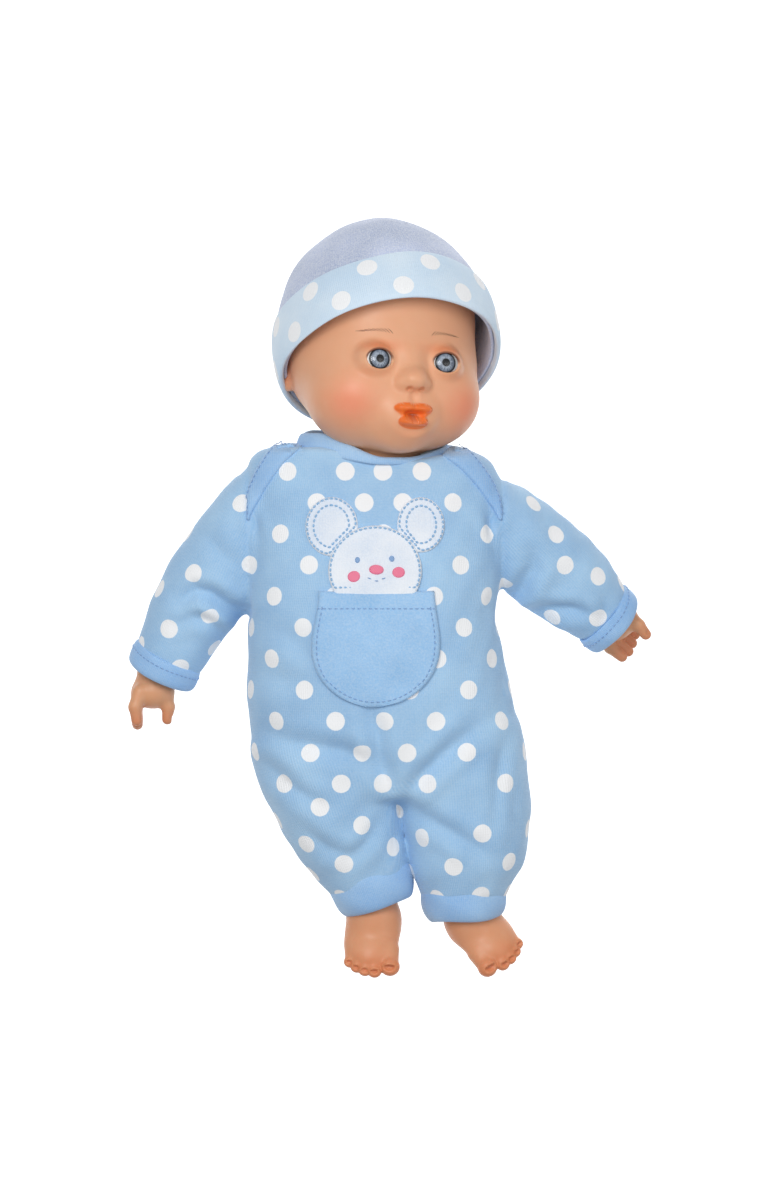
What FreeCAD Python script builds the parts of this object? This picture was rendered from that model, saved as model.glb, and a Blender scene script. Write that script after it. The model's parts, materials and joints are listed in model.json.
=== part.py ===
"""Soft-bodied talking baby doll, 300 mm tall, as an assembly of separate pieces.

The doll faces -Y, its left side is +X, +Z is up.  The origin is the middle of the bounding box at
the height of the toe tips.  Everything is in millimetres.  A vinyl head, hands and feet are tied
with cable ties to a stuffed cotton body that wears a knitted romper and a turned-up hat, and a
sound unit with a press button, a speaker, three button cells and a slide switch sits in the belly.
"""
import FreeCAD, Part
import math
import os
import re

import Sketcher
from FreeCAD import Placement, Rotation, Vector

doc = FreeCAD.newDocument("baby_doll")
sheet = doc.addObject("Spreadsheet::Sheet", "Dims")

# ------------------------------------------------------------------ driving dimensions
DIMENSIONS = [
    # cloth and clearances
    ("cloth", 1.2), ("bag_cloth", 1.0), ("ease", 0.3), ("trim_cloth", 1.1),
    # torso: five heights and ellipse half widths, half depths and centres
    ("torso_back", -1.5),
    ("seat_level", 104.8), ("seat_wide", 43.0), ("seat_deep", 27.0), ("seat_mid", -1.5),
    ("hip_level", 113.0), ("hip_wide", 48.5), ("hip_deep", 31.5), ("hip_mid", -1.8),
    ("belly_level", 132.0), ("belly_wide", 49.5), ("belly_deep", 33.0), ("belly_mid", -2.6),
    ("waist_level", 152.0), ("waist_wide", 46.0), ("waist_deep", 32.0), ("waist_mid", -4.0),
    ("chest_level", 173.0), ("chest_wide", 40.5), ("chest_deep", 29.5), ("chest_mid", -5.0),
    ("bust_level", 190.0), ("bust_wide", 37.5), ("bust_deep", 29.0), ("bust_mid", -5.6),
    ("collar_level", 204.5), ("collar_wide", 31.0), ("collar_deep", 27.0), ("collar_mid", -6.0),
    # neck: the turning axis starts here and leans back
    ("neck_mid", -6.0), ("neck_forward", -0.5), ("neck_level", 205.0), ("neck_radius", 19.5),
    ("neck_lean", 8.0), ("head_turned", 20.0), ("neck_length", 13.0), ("neck_groove", 1.2),
    ("band_high", 4.2), ("band_radius", 26.4), ("band_thick", 2.3), ("strap_apart", 20.0),
    # head, measured from the middle of the skull, in the head's own axes
    ("skull_up", 53.0), ("skull_forward", 6.0), ("skull_radius", 39.5), ("vinyl", 2.8),
    ("chin_down", 52.7), ("chin_forward", 27.5), ("chin_wide", 9.0), ("chin_deep", 5.0),
    ("jaw_down", 48.0), ("jaw_forward", 23.0), ("jaw_wide", 18.5), ("jaw_deep", 12.0),
    ("mouth_down", 43.0), ("mouth_forward", 15.5), ("mouth_wide", 29.0), ("mouth_deep", 22.6),
    ("cheek_down", 33.0), ("cheek_forward", 9.5), ("cheek_wide", 35.5), ("cheek_deep", 30.6),
    ("lid_down", 21.0), ("lid_forward", 6.0), ("lid_wide", 38.2), ("lid_deep", 35.4),
    ("temple_down", 10.0), ("temple_forward", 2.5), ("temple_wide", 39.2), ("temple_deep", 38.2),
    ("nose_radius", 4.2), ("nose_forward", 39.0), ("nose_down", 28.5),
    ("ear_radius", 6.0), ("ear_out", 34.6), ("ear_down", 23.0),
    ("eye_radius", 8.0), ("eye_out", 13.8), ("eye_forward", 32.5), ("eye_down", 20.8),
    ("cornea", 2.6), ("iris_radius", 4.2), ("iris_thick", 0.5),
    ("lip_radius", 3.2), ("lip_half", 6.5), ("lip_forward", 36.2), ("lip_down", 40.5),
    # hat: a dome of revolution on an axis that leans back from the head's own
    ("hat_lean", 30.0), ("hat_cloth", 1.5), ("hat_gap", 0.5), ("hat_edge", 15.5),
    ("brim_high", 20.0), ("brim_thick", 2.4),
    # arms, from the shoulder's turning point to the wrist
    ("shoulder_back", 3.0), ("shoulder_level", 183.0), ("shoulder_ball", 12.4),
    ("right_shoulder", -59.0), ("left_shoulder", 48.5),
    ("right_wrist_x", -91.5), ("right_wrist_y", 13.0), ("right_wrist_z", 117.5),
    ("left_wrist_x", 88.0), ("left_wrist_y", 18.0), ("left_wrist_z", 144.0),
    ("sleeve_top", 14.6), ("sleeve_low", 14.2), ("wrist_cuff_out", 13.8), ("wrist_cuff_in", 12.2),
    ("wrist_cuff_high", 11.0), ("left_cuff_reach", 8.5), ("right_cuff_reach", -1.0),
    ("wrist_radius", 6.8), ("palm_wide", 8.4), ("palm_deep", 8.8), ("palm_long", 8.5),
    ("finger_radius", 2.6), ("finger_long", 9.0), ("finger_pitch", 4.3), ("finger_out", 6.5),
    ("thumb_radius", 2.4), ("grip_radius", 3.6),
    # legs, from the hip's turning point to the ankle
    ("hip_height", 84.0), ("hip_ball", 19.8), ("right_hip", -26.0), ("left_hip", 27.0),
    ("right_ankle", -6.5), ("left_ankle", 31.5), ("ankle_height", 27.5),
    ("trouser_low", 17.2), ("ankle_cuff_out", 15.2), ("ankle_cuff_in", 12.6),
    ("ankle_cuff_high", 12.5), ("ankle_radius", 10.6),
    ("foot_wide", 10.8), ("foot_long", 15.5), ("foot_thick", 9.0), ("foot_pitch", 52.0),
    ("toe_radius", 3.1), ("left_foot_out", 26.0), ("right_foot_out", 4.0),
    # cable ties
    ("tie_thick", 1.3), ("tie_wide", 2.6),
    # sound unit
    ("unit_x", -3.0), ("unit_front", -18.5), ("unit_z", 143.0),
    ("unit_wide", 58.0), ("unit_high", 42.0), ("shell_deep", 10.0), ("shell_wall", 1.6),
    ("corner", 6.0), ("boss_x", 24.5), ("boss_y", 16.5), ("boss_radius", 2.4),
    ("speaker_x", -13.0), ("speaker_radius", 13.4), ("button_x", 15.0), ("button_radius", 5.9),
    ("button_gap", 0.2), ("button_reach", 8.0), ("bay_wide", 41.4), ("bay_high", 14.4), ("bay_y", 8.0),
    ("cell_radius", 5.8), ("cell_thick", 5.4), ("switch_x", 10.0), ("switch_y", -11.0),
    ("knob_travel", 3.6), ("spring_radius", 5.5), ("wire_radius", 0.5),
    # pocket, applique and back closure, seen from the front
    ("pocket_x", -5.5), ("pocket_top", 153.5), ("pocket_wide", 46.0), ("pocket_high", 44.0),
    ("patch_x", -5.2), ("patch_radius", 16.5), ("patch_ear", 10.5),
    ("patch_ear_x", 17.5), ("patch_ear_z", 179.0),
    ("placket_wide", 15.0), ("placket_high", 74.0), ("placket_level", 112.0),
]
for row, (alias, value) in enumerate(DIMENSIONS, start=1):
    sheet.set(f"A{row}", alias)
    sheet.set(f"B{row}", str(value))
    sheet.setAlias(f"B{row}", alias)
doc.recompute()

ALIASES = re.compile(r"\b(" + "|".join(name for name, _ in DIMENSIONS) + r")\b")


def size(alias):
    """The number in one cell of the sheet."""
    return float(sheet.get(alias))


def bind(thing, **formulas):
    """Ties an object's properties to formulas in the sheet's aliases."""
    for prop, formula in formulas.items():
        text = ALIASES.sub(r"Dims.\1", str(formula))
        thing.setExpression(prop, text)
    return thing


# ------------------------------------------------------------------ small builders
WORLD = Placement()
spare = iter(range(10_000))


def add(kind, hint):
    return doc.addObject(kind, f"{hint}_{next(spare)}")


def at(frame, x, y, z, turn=None):
    """A placement at a point of a frame, turned there."""
    return frame.multiply(Placement(Vector(x, y, z), turn or Rotation()))


def ball(frame, centre, radius):
    thing = bind(add("Part::Sphere", "ball"), Radius=radius)
    thing.Placement = at(frame, *centre)
    return thing


def egg(frame, centre, wide, deep, high, turn=None):
    """An ellipsoid: half width along X, half depth along Y, half height along Z."""
    thing = bind(add("Part::Ellipsoid", "egg"), Radius1=high, Radius2=wide, Radius3=deep)
    thing.Placement = at(frame, *centre, turn)
    return thing


def facing(start, end):
    """The rotation that carries +Z to the way from start to end."""
    return Rotation(Vector(0, 0, 1), Vector(*end) - Vector(*start))


def rod(frame, start, end, radius, end_radius=None):
    """A cylinder, or a cone where end_radius differs, from start to end."""
    length = (Vector(*end) - Vector(*start)).Length
    if end_radius is None:
        thing = bind(add("Part::Cylinder", "rod"), Radius=radius)
    else:
        thing = bind(add("Part::Cone", "cone"), Radius1=radius, Radius2=end_radius)
    thing.Height = length
    thing.Placement = at(frame, *start, facing(start, end))
    return thing


def block(frame, low, wide, deep, high):
    thing = bind(add("Part::Box", "block"), Length=wide, Width=deep, Height=high)
    thing.Placement = at(frame, *low)
    return thing


def fuse(*things):
    whole = add("Part::MultiFuse", "fuse")
    whole.Shapes = list(things)
    return whole


def cut(base, *tools):
    """Base with each tool taken away from it in turn."""
    for tool in tools:
        less = add("Part::Cut", "cut")
        less.Base, less.Tool = base, tool
        base = less
    return base


def common(*things):
    both = add("Part::MultiCommon", "common")
    both.Shapes = list(things)
    return both


def loft(frame, sections):
    """A solid through ellipses, each (centre x, centre y, z, half width, half depth) as formulas."""
    rings = []
    for x, y, z, wide, deep in sections:
        ring = add("Part::Ellipse", "ring")
        turned = size_of(deep) > size_of(wide)
        major, minor = (deep, wide) if turned else (wide, deep)
        bind(ring, MajorRadius=major, MinorRadius=minor)
        quarter = Rotation(Vector(0, 0, 1), 90 if turned else 0)
        ring.Placement = at(frame, size_of(x), size_of(y), size_of(z), quarter)
        rings.append(ring)
    skin = add("Part::Loft", "loft")
    skin.Sections, skin.Solid, skin.Ruled = rings, True, False
    return skin


def size_of(formula):
    """Adds and subtracts the aliases and numbers of a formula such as 'hip_wide - cloth'."""
    total, sign = 0.0, 1.0
    for word in re.findall(r"[A-Za-z_]\w*|\d+\.?\d*|[-+]", str(formula)):
        if word in "+-":
            sign = -1.0 if word == "-" else 1.0
            continue
        total += sign * (size(word) if word[0].isalpha() else float(word))
        sign = 1.0
    return total


subparts = []


def piece(label, thing):
    """Names a finished sub-part, which is what its file is called."""
    thing.Label = label
    subparts.append(thing)
    return thing


# ------------------------------------------------------------------ PartDesign helpers
def sketch_on(body, z_formula="0"):
    """A sketch on the body's own XY plane, lifted along Z."""
    sketch = body.newObject("Sketcher::SketchObject", f"Sketch_{next(spare)}")
    plane = next(f for f in body.Origin.OriginFeatures if f.Role == "XY_Plane")
    sketch.AttachmentSupport = [(plane, "")]
    sketch.MapMode = "FlatFace"
    bind(sketch, **{"AttachmentOffset.Base.z": z_formula})
    return sketch


def rectangle(sketch, wide, high):
    """A rectangle centred on the sketch's origin, its sides bound to formulas."""
    w, h = size_of(wide) / 2, size_of(high) / 2
    corners = [Vector(-w, -h), Vector(w, -h), Vector(w, h), Vector(-w, h)]
    for i in range(4):
        sketch.addGeometry(Part.LineSegment(corners[i], corners[(i + 1) % 4]), False)
    for i in range(4):
        sketch.addConstraint(Sketcher.Constraint("Coincident", i, 2, (i + 1) % 4, 1))
        sketch.addConstraint(Sketcher.Constraint("Vertical" if i % 2 else "Horizontal", i))
    sketch.addConstraint(Sketcher.Constraint("Symmetric", 0, 1, 2, 1, -1, 1))
    for line, axis, formula, name in ((0, "DistanceX", wide, "wide"), (1, "DistanceY", high, "high")):
        index = sketch.addConstraint(Sketcher.Constraint(axis, line, 1, line, 2, size_of(formula)))
        sketch.renameConstraint(index, name)
        bind(sketch, **{f"Constraints.{name}": formula})
    return sketch


def padded_plate(frame, wide, high, thick, corner=None, hollow=None):
    """A plate centred on the frame with rounded corners, hollowed from its far side if asked."""
    body = add("PartDesign::Body", "Body")
    base = rectangle(sketch_on(body), wide, high)
    pad = body.newObject("PartDesign::Pad", f"Pad_{next(spare)}")
    pad.Profile = base
    bind(pad, Length=thick)
    doc.recompute()
    if corner:
        upright = [
            f"Edge{i + 1}"
            for i, edge in enumerate(pad.Shape.Edges)
            if abs(edge.tangentAt(edge.FirstParameter).z) > 0.99
        ]
        rounding = body.newObject("PartDesign::Fillet", f"Fillet_{next(spare)}")
        rounding.Base = (pad, upright)
        bind(rounding, Radius=corner)
        doc.recompute()
    if hollow:
        inner = rectangle(sketch_on(body, thick), f"{wide} - {hollow} - {hollow}",
                          f"{high} - {hollow} - {hollow}")
        pocket = body.newObject("PartDesign::Pocket", f"Pocket_{next(spare)}")
        pocket.Profile = inner
        bind(pocket, Length=f"{thick} - {hollow}")
        before = body.Shape.Volume
        doc.recompute()
        if body.Shape.Volume >= before:
            raise RuntimeError("the pocket cut nothing")
    body.Placement = frame
    return body


# ------------------------------------------------------------------ the frames that parts sit in
LEAN = Rotation(Vector(1, 0, 0), -size("neck_lean"))
NECK = Placement(
    Vector(size("neck_mid"), size("neck_forward"), size("neck_level")),
    LEAN.multiply(Rotation(Vector(0, 0, 1), size("head_turned"))),
)
SKULL = at(NECK, 0, -size("skull_forward"), size("skull_up"))
HAT = at(SKULL, 0, 0, 0, Rotation(Vector(1, 0, 0), -size("hat_lean")))
UNIT = Placement(
    Vector(size("unit_x"), size("unit_front"), size("unit_z")), Rotation(Vector(1, 0, 0), -90)
)


# ------------------------------------------------------------------ torso
TORSO_LEVELS = ("seat", "hip", "belly", "waist", "chest", "bust", "collar")


def torso_form(grow):
    """The torso's outer shape grown by a formula such as '+ cloth' or '- cloth - ease'."""
    sections = []
    for name in TORSO_LEVELS:
        level = f"{name}_level"
        if name == "seat":
            level += grow.translate(str.maketrans("+-", "-+"))
        if name == "collar":
            level += grow
        sections.append((f"{name}_mid", "torso_back", level, f"{name}_wide{grow}", f"{name}_deep{grow}"))
    return loft(WORLD, sections)


def half_space(front):
    """A block that holds everything in front of, or behind, the side seams."""
    return block(WORLD, (-100, size("torso_back") - (100 if front else 0), 60), 200, 100, 200)


def neck_hole(radius):
    """A rod down the leaning neck axis, to open the cloth and the filling for the neck."""
    return rod(NECK, (0, 0, -size("neck_length") - 1.5), (0, 0, 30), radius)


def make_romper_panels():
    for label, front in (("romper_front", True), ("romper_back", False)):
        shell = cut(torso_form(""), torso_form("- cloth"))
        panel = common(shell, half_space(front))
        piece(label, cut(panel, neck_hole("neck_radius + 4.4")))


def make_body_bag():
    skin = cut(torso_form("- cloth - ease"), torso_form("- cloth - ease - bag_cloth"))
    collar = cut(
        rod(NECK, (0, 0, -5.5), (0, 0, 3.4), "neck_radius + 1.2"),
        rod(NECK, (0, 0, -7), (0, 0, 4), "neck_radius + 0.3"),
    )
    access = block(WORLD, (-18 + size("unit_x"), 0, size("unit_z") - 11), 36, 60, 22)
    tie_room = cut(
        rod(NECK, (0, 0, 0), (0, 0, 12), "neck_radius + 4.6"),
        rod(NECK, (0, 0, -1), (0, 0, 13), "neck_radius + 1.2"),
    )
    opened = cut(skin, neck_hole("neck_radius + 0.3"), tie_room, access)
    piece("cotton_body", fuse(opened, collar))


def make_filling():
    fill = torso_form("- cloth - ease - bag_cloth - ease")
    unit_room = block(UNIT, (-29.4, -21.4, -0.4), "unit_wide + 0.8", "unit_high + 0.8",
                      "shell_deep + shell_deep + 2.4")
    button_room = rod(UNIT, (size("button_x"), 0, -15), (size("button_x"), 0, 1), "button_radius + 0.6")
    access = block(WORLD, (-17 + size("unit_x"), -8, size("unit_z") - 10), 34, 60, 20)
    piece("torso_filling", cut(fill, neck_hole("neck_radius + 2.2"), unit_room, button_room, access))


def make_neck_tie():
    low, high = 0.3, 0.3 + size("tie_wide")
    band = cut(
        rod(NECK, (0, 0, low), (0, 0, high), "neck_radius + 1.4 + tie_thick"),
        rod(NECK, (0, 0, low - 1), (0, 0, high + 1), "neck_radius + 1.4"),
    )
    lock = block(NECK, (-2.2, size("neck_radius") + 1.8, low), 4.4, 2.2, "tie_wide")
    piece("neck_cable_tie", fuse(band, lock))


def neck_ring():
    """The knitted ring that binds the neckline."""
    low, radius = size("collar_level") + 0.2, size("band_radius")
    x, y = size("neck_mid"), size("neck_forward")
    outer = rod(WORLD, (x, y, low), (x, y, low + size("band_high")), "band_radius")
    inner = rod(WORLD, (x, y, low - 5), (x, y, low + 9), "band_radius - band_thick")
    return cut(outer, inner)


def front_arc(gap):
    """The stretch of the neckline that belongs to the front piece, between the two laps."""
    half = size("strap_apart") - gap
    return block(WORLD, (size("neck_mid") - half, -60, 200), 2 * half, 50, 20)


def make_neck_bindings():
    piece("front_neck_binding", common(neck_ring(), front_arc(0.3)))
    straps = [make_lap_strap(side) for side in (-1, 1)]
    opening = rod(WORLD, (size("neck_mid"), size("neck_forward"), 195),
                  (size("neck_mid"), size("neck_forward"), 215), "band_radius - band_thick")
    piece("back_neck_binding", cut(fuse(neck_ring(), *straps), opening, front_arc(0)))


def make_lap_strap(side):
    """The end of the back binding that laps over the front of a shoulder, down to the armhole."""
    skin = cut(torso_form("+ ease + trim_cloth"), torso_form("+ ease"))
    middle = size("collar_mid")
    top = Vector(middle + side * 25, 0, 209)
    foot = Vector(middle + side * 38.5, 0, 183)
    along = (foot - top).normalize()
    across = Vector(0, 1, 0).cross(along).normalize()
    half = 4.5
    corners = [top + across * half, foot, top - across * half]
    outline = Part.makePolygon([*corners, corners[0]])
    prism = add("Part::Feature", "strap_outline")
    prism.Shape = Part.Face(outline).extrude(Vector(0, -60, 0))
    return common(skin, prism)


def make_pocket():
    """A patch pocket: straight top, straight sides and a round bottom, laid over the belly."""
    half = size("pocket_wide") / 2
    x, top = size("pocket_x"), size("pocket_top")
    side = top - size("pocket_high") + half
    points = [Vector(x - half, 0, side), Vector(x - half, 0, top), Vector(x + half, 0, top),
              Vector(x + half, 0, side)]
    bottom = Part.Arc(points[3], Vector(x, 0, side - half), points[0]).toShape()
    edges = [Part.LineSegment(points[i], points[i + 1]).toShape() for i in range(3)] + [bottom]
    outline = add("Part::Feature", "pocket_outline")
    outline.Shape = Part.Face(Part.Wire(edges)).extrude(Vector(0, -60, 0))
    skin = cut(torso_form("+ ease + trim_cloth"), torso_form("+ ease"))
    piece("chest_pocket", common(skin, outline))


def make_applique():
    """The face and ears of the animal patch that looks out of the pocket."""
    x, top = size("patch_x"), size("pocket_top") + 0.4
    skin = cut(torso_form("+ ease + trim_cloth"), torso_form("+ ease"))
    face = rod(WORLD, (x, -5, top + 3), (x, -60, top + 3), "patch_radius")
    above = block(WORLD, (x - 40, -60, top), 80, 60, 40)
    piece("applique_face", common(skin, face, above))
    ears = []
    for side in (-1, 1):
        skin = cut(torso_form("+ ease + trim_cloth"), torso_form("+ ease"))
        ear_x = x + side * size("patch_ear_x")
        disc = rod(WORLD, (ear_x, -5, size("patch_ear_z")), (ear_x, -60, size("patch_ear_z")), "patch_ear")
        room = rod(WORLD, (x, -4, top + 3), (x, -61, top + 3), "patch_radius + 0.2")
        ears.append(cut(common(skin, disc), room))
    piece("applique_ears", fuse(*ears))


def make_back_closure():
    """A flat hook-and-loop placket down the middle of the back: loops on the romper, hooks outside."""
    x = size("collar_mid") + 2.5 - size("placket_wide") / 2
    rear = size("torso_back") + size("belly_deep") + 0.4
    low = size("placket_level")
    strip = block(WORLD, (x, rear, low), "placket_wide", 1.6, "placket_high")
    piece("placket_hooks", strip)
    bed = block(WORLD, (x, rear - 9.2, low), "placket_wide", 9.0, "placket_high")
    piece("placket_loops", cut(bed, torso_form("+ ease")))


make_romper_panels()
make_body_bag()
make_filling()
make_neck_tie()
make_neck_bindings()
make_pocket()
make_applique()
make_back_closure()


# ------------------------------------------------------------------ head
FACE_LEVELS = ("chin", "jaw", "mouth", "cheek", "lid", "temple")


def head_form(less):
    """The head without its features, shrunk all over by a formula such as '- vinyl'."""
    lift = less.translate(str.maketrans("+-", "-+"))
    sections = []
    for name in FACE_LEVELS:
        down = f"- {name}_down" + (lift if name == "chin" else "")
        sections.append((0, f"- {name}_forward", down, f"{name}_wide{less}", f"{name}_deep{less}"))
    sections.append((0, 0, 0, f"skull_radius{less}", f"skull_radius{less}"))
    face = loft(SKULL, sections)
    dome = ball(SKULL, (0, 0, 0), f"skull_radius{less}")
    dome.Angle1 = 0
    return [face, dome]


def neck_form(less, low):
    """The neck, which narrows where it runs up into the skull."""
    radius = f"neck_radius{less}"
    return [
        rod(NECK, (0, 0, low), (0, 0, 18), radius),
        rod(NECK, (0, 0, 18), (0, 0, 34), radius, "neck_radius - 6" + less),
    ]


def make_head_shell():
    nose = ball(SKULL, (0, -size("nose_forward"), -size("nose_down")), "nose_radius")
    ears = [
        egg(SKULL, (side * size("ear_out"), 3, -size("ear_down")), 2.6, 4.5, "ear_radius")
        for side in (-1, 1)
    ]
    lips = egg(SKULL, (0, -size("lip_forward"), -size("lip_down")), "lip_half", 3.6, "lip_radius")
    length = size("neck_length")
    solid = fuse(*head_form(""), nose, lips, *neck_form("", -length), *ears)
    hollow = fuse(*head_form("- vinyl"), *neck_form("- vinyl", -length - 1))
    groove = cut(
        rod(NECK, (0, 0, -0.2), (0, 0, 3.4), "neck_radius + 2"),
        rod(NECK, (0, 0, -1), (0, 0, 5), "neck_radius - neck_groove"),
    )
    sockets = [eye_ball_form(side, "eye_radius + 0.1") for side in (-1, 1)]
    piece("head_shell", cut(solid, hollow, groove, *sockets))


def eye_place(side):
    return at(SKULL, side * size("eye_out"), -size("eye_forward"), -size("eye_down"),
              Rotation(Vector(1, 0, 0), 90))


def eye_ball_form(side, radius):
    return ball(eye_place(side), (0, 0, 0), radius)


def make_eye(side, name):
    """White ball with a flat front, a printed iris disc on the flat, and a clear domed lens."""
    frame = eye_place(side)
    flat = size("eye_radius") - size("cornea")
    front = block(frame, (-15, -15, flat), 30, 30, 15)
    piece(f"{name}_eye_ball", cut(eye_ball_form(side, "eye_radius"), front))
    disc = rod(frame, (0, 0, flat + 0.02), (0, 0, flat + 0.02 + size("iris_thick")), "iris_radius")
    piece(f"{name}_iris", disc)
    room = rod(frame, (0, 0, flat - 1), (0, 0, flat + 0.04 + size("iris_thick")), "iris_radius + 0.03")
    cap = common(eye_ball_form(side, "eye_radius"), block(frame, (-15, -15, flat + 0.02), 30, 30, 15))
    piece(f"{name}_eye_lens", cut(cap, room))


def make_neck_plug():
    low = -size("neck_length") + 0.5
    disc = rod(NECK, (0, 0, low), (0, 0, low + 2.2), "neck_radius - vinyl - 0.05")
    piece("neck_plug", disc)


make_head_shell()
make_eye(-1, "right")
make_eye(1, "left")
make_neck_plug()


# ------------------------------------------------------------------ hat
def hat_form(radius, edge):
    """A round dome with straight sides down to the edge, on the hat's own axis."""
    dome = ball(HAT, (0, 0, 0), radius)
    dome.Angle1 = 0
    return fuse(dome, rod(HAT, (0, 0, edge), (0, 0, 0), radius))


def make_hat():
    inner = "skull_radius + hat_gap"
    edge = -size("hat_edge")
    piece("hat_crown", cut(hat_form(f"{inner} + hat_cloth", edge), hat_form(inner, edge - 1)))
    above = block(HAT, (-60, -60, edge + size("brim_high")), 120, 120, 60)
    outer = hat_form(f"{inner} + hat_cloth + 0.2 + brim_thick", edge)
    bore = hat_form(f"{inner} + hat_cloth + 0.2", edge - 1)
    piece("hat_brim", cut(outer, bore, above))


make_hat()


# ------------------------------------------------------------------ arms and hands
def limb_frame(start, end):
    """A frame at start with its Z down the limb, so that distances along it are plain numbers."""
    return Placement(Vector(*start), facing(start, end))


def make_arm(name, side):
    shoulder = (size(f"{name}_shoulder"), size("shoulder_back"), size("shoulder_level"))
    wrist = tuple(size(f"{name}_wrist_{axis}") for axis in "xyz")
    arm = limb_frame(shoulder, wrist)
    long = (Vector(*wrist) - Vector(*shoulder)).Length
    cuff_end = long + size(f"{name}_cuff_reach")
    cuff_start = cuff_end - size("wrist_cuff_high")
    stub_start = long - 13

    outer = fuse(
        ball(arm, (0, 0, 0), "shoulder_ball"),
        rod(arm, (0, 0, 0), (0, 0, 20), "shoulder_ball", "sleeve_top"),
        rod(arm, (0, 0, 20), (0, 0, cuff_start - 0.2), "sleeve_top", "sleeve_low"),
    )
    inner = fuse(
        ball(arm, (0, 0, 0), "shoulder_ball - cloth"),
        rod(arm, (0, 0, 0), (0, 0, 20), "shoulder_ball - cloth", "sleeve_top - cloth"),
        rod(arm, (0, 0, 20), (0, 0, cuff_start + 1), "sleeve_top - cloth", "sleeve_low - cloth"),
    )
    piece(f"{name}_sleeve", cut(outer, inner))
    piece(f"{name}_wrist_cuff", cut(
        rod(arm, (0, 0, cuff_start), (0, 0, cuff_end), "wrist_cuff_out"),
        rod(arm, (0, 0, cuff_start - 1), (0, 0, cuff_end + 1), "wrist_cuff_in"),
    ))
    stuffed = fuse(
        ball(arm, (0, 0, 0), "shoulder_ball - cloth - ease"),
        rod(arm, (0, 0, 0), (0, 0, stub_start), "shoulder_ball - cloth - ease", 10.8),
        rod(arm, (0, 0, stub_start - 0.5), (0, 0, long - 3.5), "wrist_radius + 1.3"),
    )
    socket = rod(arm, (0, 0, stub_start), (0, 0, long), "wrist_radius + 0.2")
    piece(f"{name}_stuffed_arm", cut(stuffed, socket))
    tie_start = stub_start + 4
    piece(f"{name}_wrist_tie", cable_tie(arm, "wrist_radius + 1.4", tie_start, side))

    stub = cut(
        rod(arm, (0, 0, stub_start + 0.5), (0, 0, long + 3), "wrist_radius"),
        cut(rod(arm, (0, 0, tie_start), (0, 0, tie_start + size("tie_wide")), "wrist_radius + 1"),
            rod(arm, (0, 0, tie_start - 1), (0, 0, tie_start + 5), "wrist_radius - 0.6")),
    )
    piece(f"{name}_hand", make_hand(name, side, stub, wrist))


def cable_tie(frame, radius, start, side):
    """A nylon tie's loop with its ratchet head."""
    end = start + size("tie_wide")
    band = cut(
        rod(frame, (0, 0, start), (0, 0, end), f"{radius} + tie_thick"),
        rod(frame, (0, 0, start - 1), (0, 0, end + 1), radius),
    )
    lock = block(frame, (-1.8, size_of(radius) + 0.2, start), 3.6, 2.4, "tie_wide")
    return fuse(band, lock)


def hand_frame(name, wrist):
    """The right hand hangs straight down; the left one carries on along its arm."""
    if name == "right":
        return Placement(Vector(*wrist), Rotation(Vector(1, 0, 0), 180))
    shoulder = (size("left_shoulder"), size("shoulder_back"), size("shoulder_level"))
    along = facing(shoulder, wrist)
    return Placement(Vector(*wrist), along.multiply(Rotation(Vector(0, 0, 1), 90)))


def make_hand(name, side, stub, wrist):
    """A palm, four fingers side by side and a thumb that faces them across an open grip."""
    hand = hand_frame(name, wrist)
    thumb_side = 1 if name == "right" else -1
    palm = egg(hand, (0, 0, 4.0), "palm_wide", "palm_deep", "palm_long")
    out, pitch = size("finger_out"), size("finger_pitch")
    digits = []
    for i in range(4):
        reach = 8.0 + size("finger_long") - abs(i - 1.2) * 0.9
        x, y = -thumb_side * out, (i - 1.5) * pitch
        digits.append(rod(hand, (x, y, 4.0), (x, y, reach), "finger_radius", "finger_radius - 0.6"))
    thumb = thumb_side * out
    digits.append(rod(hand, (thumb, 2.8, 4.0), (thumb, 2.8, 16.4), "thumb_radius", "thumb_radius - 0.6"))
    grip = rod(hand, (0, -12, 12.6), (0, 12, 12.6), "grip_radius")
    return cut(fuse(stub, palm, *digits), grip)


make_arm("right", -1)
make_arm("left", 1)


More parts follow.
